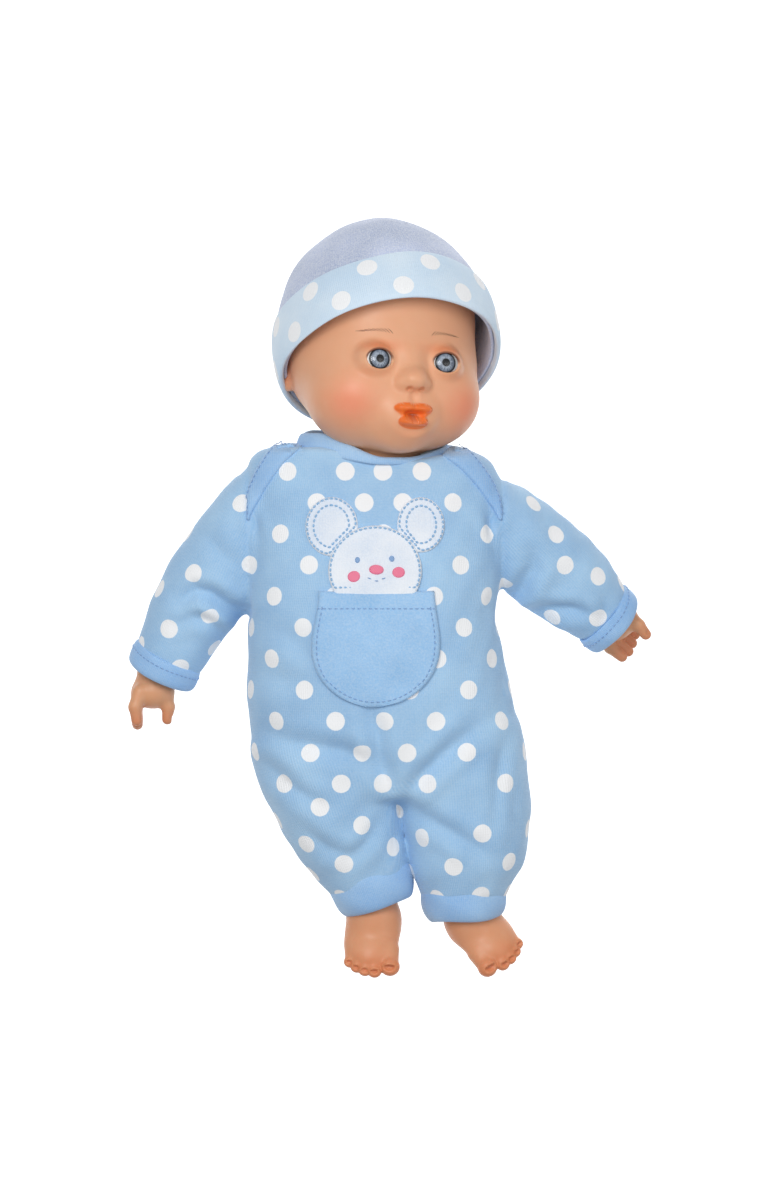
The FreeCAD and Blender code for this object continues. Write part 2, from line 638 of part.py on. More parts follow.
# ------------------------------------------------------------------ legs and feet
def make_leg(name, side):
    hip = (size(f"{name}_hip"), 0, size("hip_height"))
    ankle = (size(f"{name}_ankle"), 0, size("ankle_height"))
    leg = limb_frame(hip, ankle)
    long = (Vector(*ankle) - Vector(*hip)).Length
    cuff_end = long + 1.5
    cuff_start = cuff_end - size("ankle_cuff_high")
    stub_start = long - 15

    outer = fuse(
        ball(leg, (0, 0, 0), "hip_ball"),
        rod(leg, (0, 0, 0), (0, 0, cuff_start - 0.2), "hip_ball", "trouser_low"),
    )
    inner = fuse(
        ball(leg, (0, 0, 0), "hip_ball - cloth"),
        rod(leg, (0, 0, 0), (0, 0, cuff_start + 1), "hip_ball - cloth", "trouser_low - cloth"),
    )
    piece(f"{name}_trouser_leg", cut(outer, inner))
    piece(f"{name}_ankle_cuff", cut(
        rod(leg, (0, 0, cuff_start), (0, 0, cuff_end), "ankle_cuff_out"),
        rod(leg, (0, 0, cuff_start - 1), (0, 0, cuff_end + 1), "ankle_cuff_in"),
    ))
    stuffed = fuse(
        ball(leg, (0, 0, 0), "hip_ball - cloth - ease"),
        rod(leg, (0, 0, 0), (0, 0, stub_start), "hip_ball - cloth - ease", 14.5),
        rod(leg, (0, 0, stub_start - 0.5), (0, 0, long - 8.0), "ankle_radius - 0.6"),
    )
    socket = rod(leg, (0, 0, stub_start), (0, 0, long), "ankle_radius - 1.8")
    piece(f"{name}_stuffed_leg", cut(stuffed, socket))
    tie_start = stub_start + 2
    tie = cut(
        rod(leg, (0, 0, tie_start), (0, 0, tie_start + size("tie_wide")), "ankle_radius - 0.5 + tie_thick"),
        rod(leg, (0, 0, tie_start - 1), (0, 0, tie_start + 6), "ankle_radius - 0.5"),
    )
    piece(f"{name}_ankle_tie", tie)
    stub = fuse(
        rod(leg, (0, 0, stub_start + 0.5), (0, 0, long - 6.0), "ankle_radius - 2"),
        rod(leg, (0, 0, long - 6.5), (0, 0, long + 3), "ankle_radius"),
    )
    piece(f"{name}_foot", make_foot(name, side, stub, ankle))


def make_foot(name, side, stub, ankle):
    """A plump foot with its toes turned down and out, and five toes in a row."""
    turn = Rotation(Vector(0, 0, 1), side * size(f"{name}_foot_out"))
    down = Rotation(Vector(1, 0, 0), size("foot_pitch"))
    foot = Placement(Vector(*ankle), turn.multiply(down))
    instep = egg(foot, (0, -11.5, -5.0), "foot_wide", "foot_long", "foot_thick")
    heel = ball(foot, (0, -5.2, -7.9), 8.4)
    toes = []
    for i in range(5):
        x = -side * (7.2 - 3.6 * i)
        reach = -25.0 + 0.35 * i * i
        radius = size("toe_radius") + 0.5 - 0.22 * i
        toes.append(ball(foot, (x, reach, -8.0), radius))
    return fuse(stub, instep, heel, *toes)


make_leg("right", -1)
make_leg("left", 1)


# ------------------------------------------------------------------ sound unit
def unit_at(x, y, z):
    return at(UNIT, x, y, z)


CORNERS = [(x, y) for x in (-1, 1) for y in (-1, 1)]


def corner_rods(low, high, radius):
    """One rod at each of the four case screws, between two depths."""
    x, y = size("boss_x"), size("boss_y")
    return [rod(UNIT, (i * x, j * y, low), (i * x, j * y, high), radius) for i, j in CORNERS]


def grille_holes():
    """Sound holes in rings in front of the speaker."""
    centre = size("speaker_x")
    places = [(centre, 0.0)]
    for ring, count in ((4.0, 6), (8.0, 12)):
        for k in range(count):
            angle = 2 * math.pi * k / count
            places.append((centre + ring * math.cos(angle), ring * math.sin(angle)))
    return fuse(*[rod(UNIT, (x, y, -1), (x, y, 3), 0.9) for x, y in places])


def make_front_case():
    shell = padded_plate(UNIT, "unit_wide", "unit_high", "shell_deep", "corner", "shell_wall")
    bosses = corner_rods(1.0, size("shell_deep") - 0.1, "boss_radius")
    button_hole = rod(UNIT, (size("button_x"), 0, -1), (size("button_x"), 0, 3), "button_radius + button_gap")
    solid = fuse(shell, *bosses)
    piece("sound_case_front", cut(solid, button_hole, grille_holes(), *corner_rods(2.6, 11, 1.06)))


def make_back_case():
    deep = size("shell_deep")
    turned = at(UNIT, 0, 0, 2 * deep, Rotation(Vector(1, 0, 0), 180))
    shell = padded_plate(turned, "unit_wide", "unit_high", "shell_deep - 0.1", "corner", "shell_wall")
    columns = corner_rods(deep + 0.1, 2 * deep - 1, "boss_radius")
    bay_y = size("bay_y")
    tray = block(UNIT, (-size("bay_wide") / 2 - 1.2, bay_y - size("bay_high") / 2 - 1.2, 11.4),
                 "bay_wide + 2.4", "bay_high + 2.4", 7.4)
    bay = block(UNIT, (-size("bay_wide") / 2, bay_y - size("bay_high") / 2, 12.4),
                "bay_wide", "bay_high", 9)
    post = rod(UNIT, (18.2, bay_y, 12.0), (18.2, bay_y, 18.3), 2.2)
    slot = block(UNIT, (size("switch_x") - 3.7, size("switch_y") - 1.25, 17), 7.4, 2.5, 4)
    drilled = cut(fuse(shell, *columns, tray), bay, slot, *corner_rods(9, 21, 1.3),
                  *corner_rods(18.8, 21, 2.45))
    piece("sound_case_back", cut(fuse(drilled, post), rod(UNIT, (18.2, bay_y, 12.9), (18.2, bay_y, 19), 0.96)))


def make_battery_door():
    frame = unit_at(0, size("bay_y"), 18.5)
    plate = padded_plate(frame, "bay_wide - 0.4", "bay_high - 0.4", 1.5)
    hole = rod(UNIT, (18.2, size("bay_y"), 18), (18.2, size("bay_y"), 21), 1.2)
    sink = rod(UNIT, (18.2, size("bay_y"), 19.1), (18.2, size("bay_y"), 21), 2.1)
    grip = block(frame, (-16, -4, 1.0), 1.2, 8, 1)
    piece("battery_door", cut(plate, hole, sink, grip))
    screw = fuse(
        rod(UNIT, (18.2, size("bay_y"), 19.15), (18.2, size("bay_y"), 20.0), 1.9),
        rod(UNIT, (18.2, size("bay_y"), 13.2), (18.2, size("bay_y"), 19.3), 0.9),
    )
    piece("battery_door_screw", cut(screw, block(UNIT, (16, size("bay_y") - 0.3, 19.6), 5, 0.6, 1)))


def make_case_screws():
    shanks = corner_rods(3.5, 19.0, 1.0)
    heads = corner_rods(18.85, 19.9, 2.25)
    slots = []
    for i, j in CORNERS:
        x, y = i * size("boss_x"), j * size("boss_y")
        slots.append(block(UNIT, (x - 1.5, y - 0.3, 19.4), 3, 0.6, 1))
    piece("case_screws", cut(fuse(*shanks, *heads), *slots))


def make_speaker():
    x = size("speaker_x")
    frame = cut(
        fuse(rod(UNIT, (x, 0, 1.7), (x, 0, 2.9), "speaker_radius"),
             rod(UNIT, (x, 0, 2.8), (x, 0, 7.4), 12.6, 8.2)),
        rod(UNIT, (x, 0, 1.6), (x, 0, 3.0), 12.0),
        rod(UNIT, (x, 0, 2.8), (x, 0, 6.6), 11.9, 8.0),
    )
    piece("speaker_frame", frame)
    cone = cut(rod(UNIT, (x, 0, 2.2), (x, 0, 5.6), 11.2, 4.0), rod(UNIT, (x, 0, 2.0), (x, 0, 5.2), 11.0, 3.8))
    piece("speaker_cone", fuse(cone, rod(UNIT, (x, 0, 4.9), (x, 0, 5.6), 4.0)))
    piece("speaker_magnet", rod(UNIT, (x, 0, 7.5), (x, 0, 11.1), 7.4))


def make_board():
    board = padded_plate(unit_at(size("button_x"), 0, 9.0), 23, 26, 1.2)
    piece("circuit_board", board)
    switch = fuse(
        block(UNIT, (size("button_x") - 3, -3, 5.9), 6, 6, 3.05),
        rod(UNIT, (size("button_x"), 0, 5.6), (size("button_x"), 0, 6.2), 1.7),
    )
    piece("contact_switch", switch)
    chip = common(ball(UNIT, (size("button_x"), 9.0, 11.2), 3.6), block(UNIT, (0, 0, 7.6), 30, 20, 1.35))
    piece("sound_chip", chip)


def make_button():
    x = size("button_x")
    reach = -size("button_reach")
    cap = fuse(
        rod(UNIT, (x, 0, reach), (x, 0, 2.0), "button_radius"),
        egg(UNIT, (x, 0, reach), "button_radius", "button_radius", 1.0),
        rod(UNIT, (x, 0, 1.9), (x, 0, 2.8), "button_radius + 1.6"),
        rod(UNIT, (x, 0, 2.7), (x, 0, 3.5), 1.8),
    )
    piece("press_button", cap)
    coils = []
    for k in range(4):
        low = 3.4 + 1.45 * k
        coils.append(cut(
            rod(UNIT, (x, 0, low), (x, 0, low + 0.6), "spring_radius + 0.4"),
            rod(UNIT, (x, 0, low - 1), (x, 0, low + 1), "spring_radius - 0.4"),
        ))
        if k < 3:
            tie_x = x + (1 if k % 2 else -1) * size("spring_radius")
            coils.append(block(UNIT, (tie_x - 0.3, -0.6, low + 0.3), 0.6, 1.2, 1.45))
    piece("button_spring", fuse(*coils))


def make_batteries():
    y = size("bay_y")
    places = [-13.9 + 12.0 * k for k in range(3)]
    cells = [rod(UNIT, (x, y, 12.8), (x, y, 12.8 + size("cell_thick")), "cell_radius") for x in places]
    piece("button_cells", fuse(*cells))
    plates = [block(UNIT, (x - 4.5, y - 4.5, 12.42), 9, 9, 0.3) for x in places]
    piece("battery_contacts", fuse(*plates))


def make_switch():
    x, y = size("switch_x"), size("switch_y")
    piece("slide_switch_base", block(UNIT, (x - 4.5, y - 2.2, 14.2), 9, 4.4, 4.0))
    knob = block(UNIT, (x - size("knob_travel") / 2 - 1.4, y - 1.0, 18.35), 2.8, 2.0, 3.2)
    piece("switch_knob", knob)


def make_wires():
    """Two leads from the speaker's tags to the circuit board, each an easy S bend."""
    leads = []
    radius = size("wire_radius")
    for y in (-6.5, -9.0):
        start, end = Vector(-1.4, y, 8.6), Vector(2.9, y, 9.6)
        middle = (start + end) / 2
        first = Part.Arc(start, start + Vector(1.1, 0, 0.12), middle).toShape()
        second = Part.Arc(middle, end - Vector(1.1, 0, 0.12), end).toShape()
        ring = Part.Wire(Part.makeCircle(radius, start, Vector(1, 0, 0)))
        leads.append(Part.Wire([first, second]).makePipeShell([ring], True, False))
    wires = add("Part::Feature", "leads")
    wires.Shape = Part.makeCompound(leads)
    wires.Placement = UNIT
    piece("speaker_wires", wires)


make_front_case()
make_back_case()
make_battery_door()
make_case_screws()
make_speaker()
make_board()
make_button()
make_batteries()
make_switch()
make_wires()

# ------------------------------------------------------------------ check and write
doc.recompute()
faults = [t.Label for t in doc.Objects if "Invalid" in t.State or "Error" in t.State]
faults += [t.Label for t in subparts if t.Shape.isNull() or not t.Shape.isValid()]
if faults:
    raise RuntimeError("these failed: " + ", ".join(faults))

os.makedirs("parts", exist_ok=True)
for name in os.listdir("parts"):
    os.remove(os.path.join("parts", name))
for thing in subparts:
    thing.Shape.exportStep(f"parts/{thing.Label}.step")
    print(f"{thing.Label:22s} {len(thing.Shape.Solids)} solid(s) {thing.Shape.Volume / 1000:8.3f} cm3")
print(len(subparts), "sub-parts")
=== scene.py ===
# %% [markdown]
# # A soft baby doll in a dotted romper
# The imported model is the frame: it says where each piece is and what it moves with.  This notebook
# makes what is seen.  Lengths are in millimetres here and become metres as each mesh is made.

# %% Load the frame
import json
import math

import bmesh
import bpy
import numpy as np
from mathutils import Matrix, Vector
from mathutils.bvhtree import BVHTree


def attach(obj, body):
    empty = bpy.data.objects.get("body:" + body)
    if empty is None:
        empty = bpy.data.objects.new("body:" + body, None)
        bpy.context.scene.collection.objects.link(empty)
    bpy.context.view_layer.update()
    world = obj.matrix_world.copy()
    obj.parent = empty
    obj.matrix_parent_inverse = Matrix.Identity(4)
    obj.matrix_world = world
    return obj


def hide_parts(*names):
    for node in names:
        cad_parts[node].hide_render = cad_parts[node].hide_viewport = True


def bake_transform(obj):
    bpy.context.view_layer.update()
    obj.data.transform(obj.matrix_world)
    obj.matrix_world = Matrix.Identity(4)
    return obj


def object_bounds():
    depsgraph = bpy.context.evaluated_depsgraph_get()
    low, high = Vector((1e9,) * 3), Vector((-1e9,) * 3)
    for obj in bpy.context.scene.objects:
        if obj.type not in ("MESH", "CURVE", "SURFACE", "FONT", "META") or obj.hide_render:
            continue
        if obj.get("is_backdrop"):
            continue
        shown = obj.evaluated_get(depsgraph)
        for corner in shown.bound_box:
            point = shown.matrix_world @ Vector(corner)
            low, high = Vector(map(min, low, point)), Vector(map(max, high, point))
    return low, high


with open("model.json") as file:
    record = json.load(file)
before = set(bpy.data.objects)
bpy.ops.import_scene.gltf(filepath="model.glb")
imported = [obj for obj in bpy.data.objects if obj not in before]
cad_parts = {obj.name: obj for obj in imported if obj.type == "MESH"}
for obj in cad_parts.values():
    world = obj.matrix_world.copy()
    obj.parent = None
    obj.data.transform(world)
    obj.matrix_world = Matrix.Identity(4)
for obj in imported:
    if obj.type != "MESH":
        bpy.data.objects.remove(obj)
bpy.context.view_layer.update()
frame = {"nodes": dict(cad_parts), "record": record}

MM = 0.001

# %% [markdown]
# ## Camera, light and backdrop
# The doll is seen square on from over three metres away with a long lens.  A wide soft light
# in front on the left, a weaker one on the right and a pale room give the gentle shading of a catalogue
# picture.  Behind it hangs a sheet of white paper, lit so evenly that it has no edge.

# %% Camera and lights
camera = bpy.data.objects.new("camera", bpy.data.cameras.new("camera"))
camera.data.lens, camera.data.sensor_width, camera.data.sensor_height = 250, 36, 36
camera.location = (0.0004, -3.271, 0.1505)
camera.rotation_euler = (math.radians(90), 0, 0)
bpy.context.scene.collection.objects.link(camera)
bpy.context.scene.camera = camera


def soft_light(name, place, aim, size, watts):
    lamp = bpy.data.lights.new(name, "AREA")
    lamp.size, lamp.energy = size, watts
    lamp_object = bpy.data.objects.new(name, lamp)
    lamp_object.location = place
    lamp_object.rotation_euler = (Vector(aim) - Vector(place)).to_track_quat("-Z", "Y").to_euler()
    bpy.context.scene.collection.objects.link(lamp_object)


backdrop = bpy.data.objects.new("backdrop", bpy.data.meshes.new("backdrop"))
backdrop.data.from_pydata([(-3, 1.7, -2.5), (3, 1.7, -2.5), (3, 1.7, 3), (-3, 1.7, 3)], [], [(0, 1, 2, 3)])
bpy.context.scene.collection.objects.link(backdrop)
paper = bpy.data.materials.new("white_paper")
paper.use_nodes = True
paper.node_tree.nodes["Principled BSDF"].inputs["Emission Color"].default_value = (1, 1, 1, 1)
paper.node_tree.nodes["Principled BSDF"].inputs["Emission Strength"].default_value = 1.0
backdrop.data.materials.append(paper)
backdrop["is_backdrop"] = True

soft_light("key_light", (-0.28, -1.25, 0.58), (0, 0, 0.16), 0.55, 7.9)
soft_light("fill_light", (0.75, -1.05, 0.2), (0, 0, 0.15), 0.8, 2.5)
soft_light("back_light", (0.2, 0.9, 0.9), (0, 0, 0.2), 0.8, 4.0)
room = bpy.data.worlds.new("room")
room.use_nodes = True
room.node_tree.nodes["Background"].inputs["Color"].default_value = (0.93, 0.96, 1.0, 1)
room.node_tree.nodes["Background"].inputs["Strength"].default_value = 0.43
bpy.context.scene.world = room
bpy.context.scene.view_settings.view_transform = "Standard"

# %% [markdown]
# ## Helpers
# Cloth and vinyl have smooth swelling forms that no primitive has.  They are described as distances:
# a function that is negative inside the form.  Rounded forms are joined with a soft minimum, which
# fills the crease between them as a mould-maker's fillet does, and a net of quads is then drawn over
# the zero surface.

# %% Distances
def soft_min(a, b, k):
    h = np.clip(0.5 + 0.5 * (b - a) / k, 0, 1)
    return b * (1 - h) + a * h - k * h * (1 - h)


def soft_max(a, b, k):
    return -soft_min(-a, -b, k)


def egg(p, centre, radii):
    """Distance to an ellipsoid, near enough for joining and cutting."""
    q = (p - np.array(centre, float)) / np.array(radii, float)
    k0 = np.linalg.norm(q, axis=-1)
    k1 = np.linalg.norm(q / np.array(radii, float), axis=-1)
    return k0 * (k0 - 1) / np.maximum(k1, 1e-9)


def bone(p, a, b, ra, rb):
    """Distance to a rod from a to b whose radius runs from ra to rb."""
    a, b = np.array(a, float), np.array(b, float)
    along = np.clip((p - a) @ (b - a) / np.dot(b - a, b - a), 0, 1)
    return np.linalg.norm(p - a - along[..., None] * (b - a), axis=-1) - (ra + (rb - ra) * along)


def softened(stations, reach=5.0, step=0.5):
    """Rows of (height, ...) read off every half millimetre and blurred, so no ring shows."""
    rows = np.array(stations, float)
    rows = rows[np.argsort(rows[:, 0])]
    pad = reach * 2
    s = np.arange(rows[0, 0] - pad, rows[-1, 0] + pad, step)
    values = np.stack([np.interp(s, rows[:, 0], rows[:, k]) for k in range(1, rows.shape[1])], -1)
    window = np.hanning(int(2 * reach / step) + 1)
    window /= window.sum()
    for k in range(values.shape[1]):
        padded = np.pad(values[:, k], len(window) // 2, mode="edge")
        values[:, k] = np.convolve(padded, window, mode="valid")[: len(s)]
    return s, values


def lofted(p, table, low, high, power=2.0, cap=6.0):
    """Distance to a stack of rounded sections (centre x, centre y, half width, half depth)."""
    s, values = table
    x0, y0, wide, deep = (np.interp(p[..., 2], s, values[:, k]) for k in range(4))
    q = (np.abs((p[..., 0] - x0) / wide) ** power + np.abs((p[..., 1] - y0) / deep) ** power)
    side = (q ** (1 / power) - 1) * np.minimum(wide, deep)
    ends = np.maximum(p[..., 2] - high, low - p[..., 2])
    return soft_max(side, ends, cap)


# %% Nets over distances
CORNERS = [(i, j, k) for i in (0, 1) for j in (0, 1) for k in (0, 1)]


def net_over(distance, low, high, step):
    """Quads over the zero surface of a distance function: one vertex in each cell it crosses."""
    axes = [np.arange(a, b + step, step) for a, b in zip(low, high)]
    grid = np.stack(np.meshgrid(*axes, indexing="ij"), -1)
    d = distance(grid.reshape(-1, 3)).reshape(grid.shape[:3])
    n = np.array(d.shape) - 1
    view = {c: tuple(slice(c[a], c[a] + n[a]) for a in range(3)) for c in CORNERS}
    total, count = np.zeros((*n, 3)), np.zeros(n)
    for a in CORNERS:
        for axis in range(3):
            if a[axis]:
                continue
            b = tuple(1 if k == axis else a[k] for k in range(3))
            da, db = d[view[a]], d[view[b]]
            crossing = (da < 0) != (db < 0)
            t = np.where(crossing, da / np.where(crossing, da - db, 1), 0)
            point = grid[view[a]] + t[..., None] * (grid[view[b]] - grid[view[a]])
            total += np.where(crossing[..., None], point, 0)
            count += crossing
    active = count > 0
    index = np.full(n, -1)
    index[active] = np.arange(active.sum())
    verts = total[active] / count[active][:, None]
    faces = []
    for axis in range(3):
        u, v = (axis + 1) % 3, (axis + 2) % 3
        lower = [slice(1, n[k]) for k in range(3)]
        lower[axis] = slice(0, n[axis])
        upper = list(lower)
        upper[axis] = slice(1, n[axis] + 1)
        start, finish = d[tuple(lower)] < 0, d[tuple(upper)] < 0
        for sign, mask in ((1, start & ~finish), (-1, ~start & finish)):
            place = np.argwhere(mask)
            place[:, u] += 1
            place[:, v] += 1
            ring = []
            for du, dv in ((0, 0), (-1, 0), (-1, -1), (0, -1)):
                cell = place.copy()
                cell[:, u] += du
                cell[:, v] += dv
                ring.append(index[cell[:, 0], cell[:, 1], cell[:, 2]])
            quad = np.stack(ring, -1)
            faces.append(quad if sign > 0 else quad[:, ::-1])
    faces = np.concatenate(faces)
    for _ in range(3):
        verts = onto(distance, verts)
    return verts, faces


def slope(distance, p, e=0.05):
    """The direction in which the distance grows."""
    g = np.stack([distance(p + e * np.eye(3)[k]) - distance(p - e * np.eye(3)[k]) for k in range(3)], -1)
    return g / (2 * e)


def onto(distance, p):
    g = slope(distance, p)
    move = distance(p)[:, None] * g / np.maximum((g * g).sum(-1, keepdims=True), 0.05)
    size = np.linalg.norm(move, axis=-1, keepdims=True)
    return p - move * np.minimum(1, 0.6 / np.maximum(size, 1e-9))


# %% Meshes
def make_object(name, verts, faces, smooth=True):
    """A mesh object at the origin from vertices in millimetres."""
    mesh = bpy.data.meshes.new(name)
    mesh.from_pydata((np.asarray(verts, float) * MM).tolist(), [], [list(map(int, f)) for f in faces])
    mesh.polygons.foreach_set("use_smooth", [smooth] * len(mesh.polygons))
    mesh.update()
    thing = bpy.data.objects.new(name, mesh)
    bpy.context.scene.collection.objects.link(thing)
    return thing


def points_of(thing):
    """A mesh's vertices in millimetres."""
    co = np.empty(len(thing.data.vertices) * 3)
    thing.data.vertices.foreach_get("co", co)
    return co.reshape(-1, 3) / MM


def put_points(thing, verts):
    thing.data.vertices.foreach_set("co", (np.asarray(verts) * MM).ravel())
    thing.data.update()


def normals_of(thing):
    out = np.empty(len(thing.data.vertices) * 3)
    thing.data.vertex_normals.foreach_get("vector", out)
    return out.reshape(-1, 3)


def set_values(thing, name, values, kind="FLOAT"):
    """Stores one value, or one colour, on each vertex for its material to read."""
    attribute = thing.data.attributes.new(name, kind, "POINT")
    key = "color" if kind == "FLOAT_COLOR" else "value"
    attribute.data.foreach_set(key, np.asarray(values, np.float32).ravel())


def bake(thing):
    """Applies an object's modifiers and leaves a plain mesh."""
    bpy.context.view_layer.update()
    graph = bpy.context.evaluated_depsgraph_get()
    mesh = bpy.data.meshes.new_from_object(thing.evaluated_get(graph))
    thing.modifiers.clear()
    thing.data = mesh
    return thing


def finer(thing, levels=1):
    modifier = thing.modifiers.new("subdivide", "SUBSURF")
    modifier.levels = modifier.render_levels = levels
    return bake(thing)


def turned(axis, degrees):
    return np.array(Matrix.Rotation(math.radians(degrees), 3, axis))


def into(frame, p):
    return (np.asarray(p) - frame[1]) @ frame[0]


def out_of(frame, p):
    return np.asarray(p) @ frame[0].T + frame[1]


def smoothstep(low, high, x):
    t = np.clip((x - low) / (high - low), 0, 1)
    return t * t * (3 - 2 * t)


# The head's own frame, as in the model: the neck leans back and the face is turned to one side.
NECK = (turned("X", -8.0) @ turned("Z", 20.0), np.array([-6.0, -0.5, 205.0]))
SKULL = (NECK[0], out_of(NECK, np.array([0, -6.0, 53.0])))
HAT = (SKULL[0] @ turned("X", -28.0), SKULL[1] + (1.7, 0, 0.4))
print("head centre", SKULL[1].round(1))

# %% [markdown]
# ## Finishes
# Soft vinyl is matt with a faint gloss and lets a little light through; its blush and lips are
# sprayed on, so they are stored as colours on the mesh, and so is a painted shade under the chin.  Jersey shows
# fine ribs, a soft fuzz and
# printed dots.  The dots are stored as a distance to the nearest dot's centre: a distance is smooth
# from vertex to vertex, so its edge comes out as a clean circle on a coarse mesh.

# %% Node helpers
def srgb(r, g, b):
    return tuple(((c / 255 + 0.055) / 1.055) ** 2.4 if c > 10 else c / 3294.6 for c in (r, g, b))


def finish(name, color, rough=0.6, **sockets):
    material = bpy.data.materials.new(name)
    material.use_nodes = True
    shader = material.node_tree.nodes["Principled BSDF"]
    shader.inputs["Base Color"].default_value = (*color, 1)
    shader.inputs["Roughness"].default_value = rough
    for socket, value in sockets.items():
        shader.inputs[socket.replace("_", " ")].default_value = value
    return material


def add_node(material, kind, inputs=None, **props):
    node = material.node_tree.nodes.new(kind)
    for key, value in props.items():
        setattr(node, key, value)
    for key, value in (inputs or {}).items():
        if isinstance(value, bpy.types.NodeSocket):
            material.node_tree.links.new(value, node.inputs[key])
        else:
            node.inputs[key].default_value = value
    return node


def coordinates(material, kind="Object"):
    if kind == "UV":
        return add_node(material, "ShaderNodeUVMap", uv_map="cloth").outputs["UV"]
    return add_node(material, "ShaderNodeTexCoord").outputs[kind]


def noise(material, vector, scale, detail=2.0):
    node = add_node(material, "ShaderNodeTexNoise", {"Vector": vector, "Scale": scale, "Detail": detail})
    return node.outputs["Fac"]


def mixed(material, factor, a, b, mode="MIX"):
    node = add_node(material, "ShaderNodeMix", data_type="RGBA", blend_type=mode)
    links = material.node_tree.links
    for socket, value in ((node.inputs[0], factor), (node.inputs[6], a), (node.inputs[7], b)):
        if isinstance(value, bpy.types.NodeSocket):
            links.new(value, socket)
        elif isinstance(value, (int, float)):
            socket.default_value = value
        else:
            socket.default_value = (*value, 1)[:4]
    return node.outputs[2]


def math_node(material, operation, a, b=0.0):
    node = add_node(material, "ShaderNodeMath", operation=operation)
    for socket, value in zip(node.inputs, (a, b)):
        if isinstance(value, bpy.types.NodeSocket):
            material.node_tree.links.new(value, socket)
        else:
            socket.default_value = value
    return node.outputs[0]


def ranged(material, value, low, high, to_low=0.0, to_high=1.0):
    node = add_node(material, "ShaderNodeMapRange", {"Value": value, "From Min": low, "From Max": high,
                                                     "To Min": to_low, "To Max": to_high})
    return node.outputs["Result"]


def connect(material, output, socket):
    shader = material.node_tree.nodes["Principled BSDF"]
    material.node_tree.links.new(output, shader.inputs[socket])


def add_bump(material, height, strength, distance, under=None):
    inputs = {"Height": height, "Strength": strength, "Distance": distance}
    if under is not None:
        inputs["Normal"] = under
    return add_node(material, "ShaderNodeBump", inputs).outputs["Normal"]


# %% Cloth finishes
def cloth_finish(name, base, pale, rib=0.0008, uv=True, fuzz=0.3, dots=None, weave=False):
    """Knit or woven cloth: ribs or a weave, fuzz, slow changes of shade, and printed dots."""
    m = finish(name, base, 0.85, Sheen_Weight=0.25, Sheen_Roughness=0.5, Specular_IOR_Level=0.25)
    where = coordinates(m, "UV" if uv else "Object")
    solid = coordinates(m)
    across = add_node(m, "ShaderNodeTexWave", {"Vector": where, "Scale": 0.314 / rib, "Distortion": 0.6,
                                               "Detail": 1.0}, bands_direction="X").outputs["Fac"]
    along = add_node(m, "ShaderNodeTexWave", {"Vector": where, "Scale": 0.314 / (rib * 1.25),
                                              "Distortion": 0.6}, bands_direction="Y").outputs["Fac"]
    slow = noise(m, solid, 45.0, 3.0)
    fine = noise(m, solid, 1500.0, 2.0)
    color = mixed(m, ranged(m, slow, 0.3, 0.7), base, pale)
    threads = math_node(m, "MULTIPLY" if weave else "ADD", across,
                        math_node(m, "MULTIPLY", along, 1.0 if weave else 0.35))
    color = mixed(m, ranged(m, threads, 0.0, 1.2, 0.0, 0.10), color, (1.0, 1.0, 1.0))
    color = mixed(m, ranged(m, fine, 0.35, 0.7, 0.0, fuzz * 0.35), color, (1.0, 1.0, 1.0))
    if dots:
        spot = add_node(m, "ShaderNodeAttribute", attribute_name="dot").outputs["Fac"]
        ragged = math_node(m, "ADD", spot, ranged(m, noise(m, solid, 900.0), 0, 1, -0.14, 0.14))
        color = mixed(m, ranged(m, ragged, dots - 0.12, dots + 0.12, 1.0, 0.0), color, srgb(252, 252, 252))
    connect(m, color, "Base Color")
    normal = add_bump(m, fine, 0.35 * (0.5 + fuzz), 0.0003)
    normal = add_bump(m, threads, 0.35, 0.00022, normal)
    connect(m, normal, "Normal")
    return m


DOT = 3.7
BLUE, PALE_BLUE = srgb(143, 189, 229), srgb(166, 208, 241)
dotted_knit = cloth_finish("dotted_knit", BLUE, PALE_BLUE, dots=DOT)
plain_rib = cloth_finish("plain_rib", srgb(134, 184, 234), srgb(164, 206, 244), rib=0.0007)
woven_blue = cloth_finish("woven_blue", srgb(140, 189, 232), srgb(164, 208, 247), rib=0.00045, weave=True,
                          fuzz=0.5)
hat_fleece = cloth_finish("hat_fleece", srgb(170, 183, 212), srgb(198, 209, 238), rib=0.0009, fuzz=1.2)
hat_jersey = cloth_finish("hat_jersey", srgb(202, 226, 246), srgb(222, 239, 252), dots=4.1)
white_fleece = cloth_finish("white_fleece", srgb(214, 228, 246), srgb(246, 250, 255), rib=0.0006, fuzz=1.0)
hook_tape = cloth_finish("hook_tape", srgb(170, 200, 226), srgb(190, 214, 236), rib=0.0011, uv=False,
                         weave=True)
cotton_cloth = cloth_finish("cotton_cloth", srgb(226, 208, 186), srgb(238, 224, 206), rib=0.0007, uv=False)
fibre_fill = cloth_finish("fibre_fill", srgb(232, 232, 228), srgb(246, 246, 244), rib=0.0030, uv=False,
                          fuzz=1.0)


def thread_finish(name, color):
    m = finish(name, color, 0.5, Sheen_Weight=0.3)
    twist = add_node(m, "ShaderNodeTexWave", {"Vector": coordinates(m), "Scale": 900.0},
                     bands_direction="DIAGONAL")
    connect(m, mixed(m, ranged(m, twist.outputs["Fac"], 0, 1, 0, 0.3), color, (1, 1, 1)), "Base Color")
    connect(m, add_bump(m, twist.outputs["Fac"], 0.5, 0.0001), "Normal")
    return m


pale_thread = thread_finish("pale_thread", srgb(120, 180, 226))
blue_thread = thread_finish("blue_thread", srgb(96, 150, 206))
pink_thread = thread_finish("pink_thread", srgb(242, 74, 128))
print("cloth finishes made")

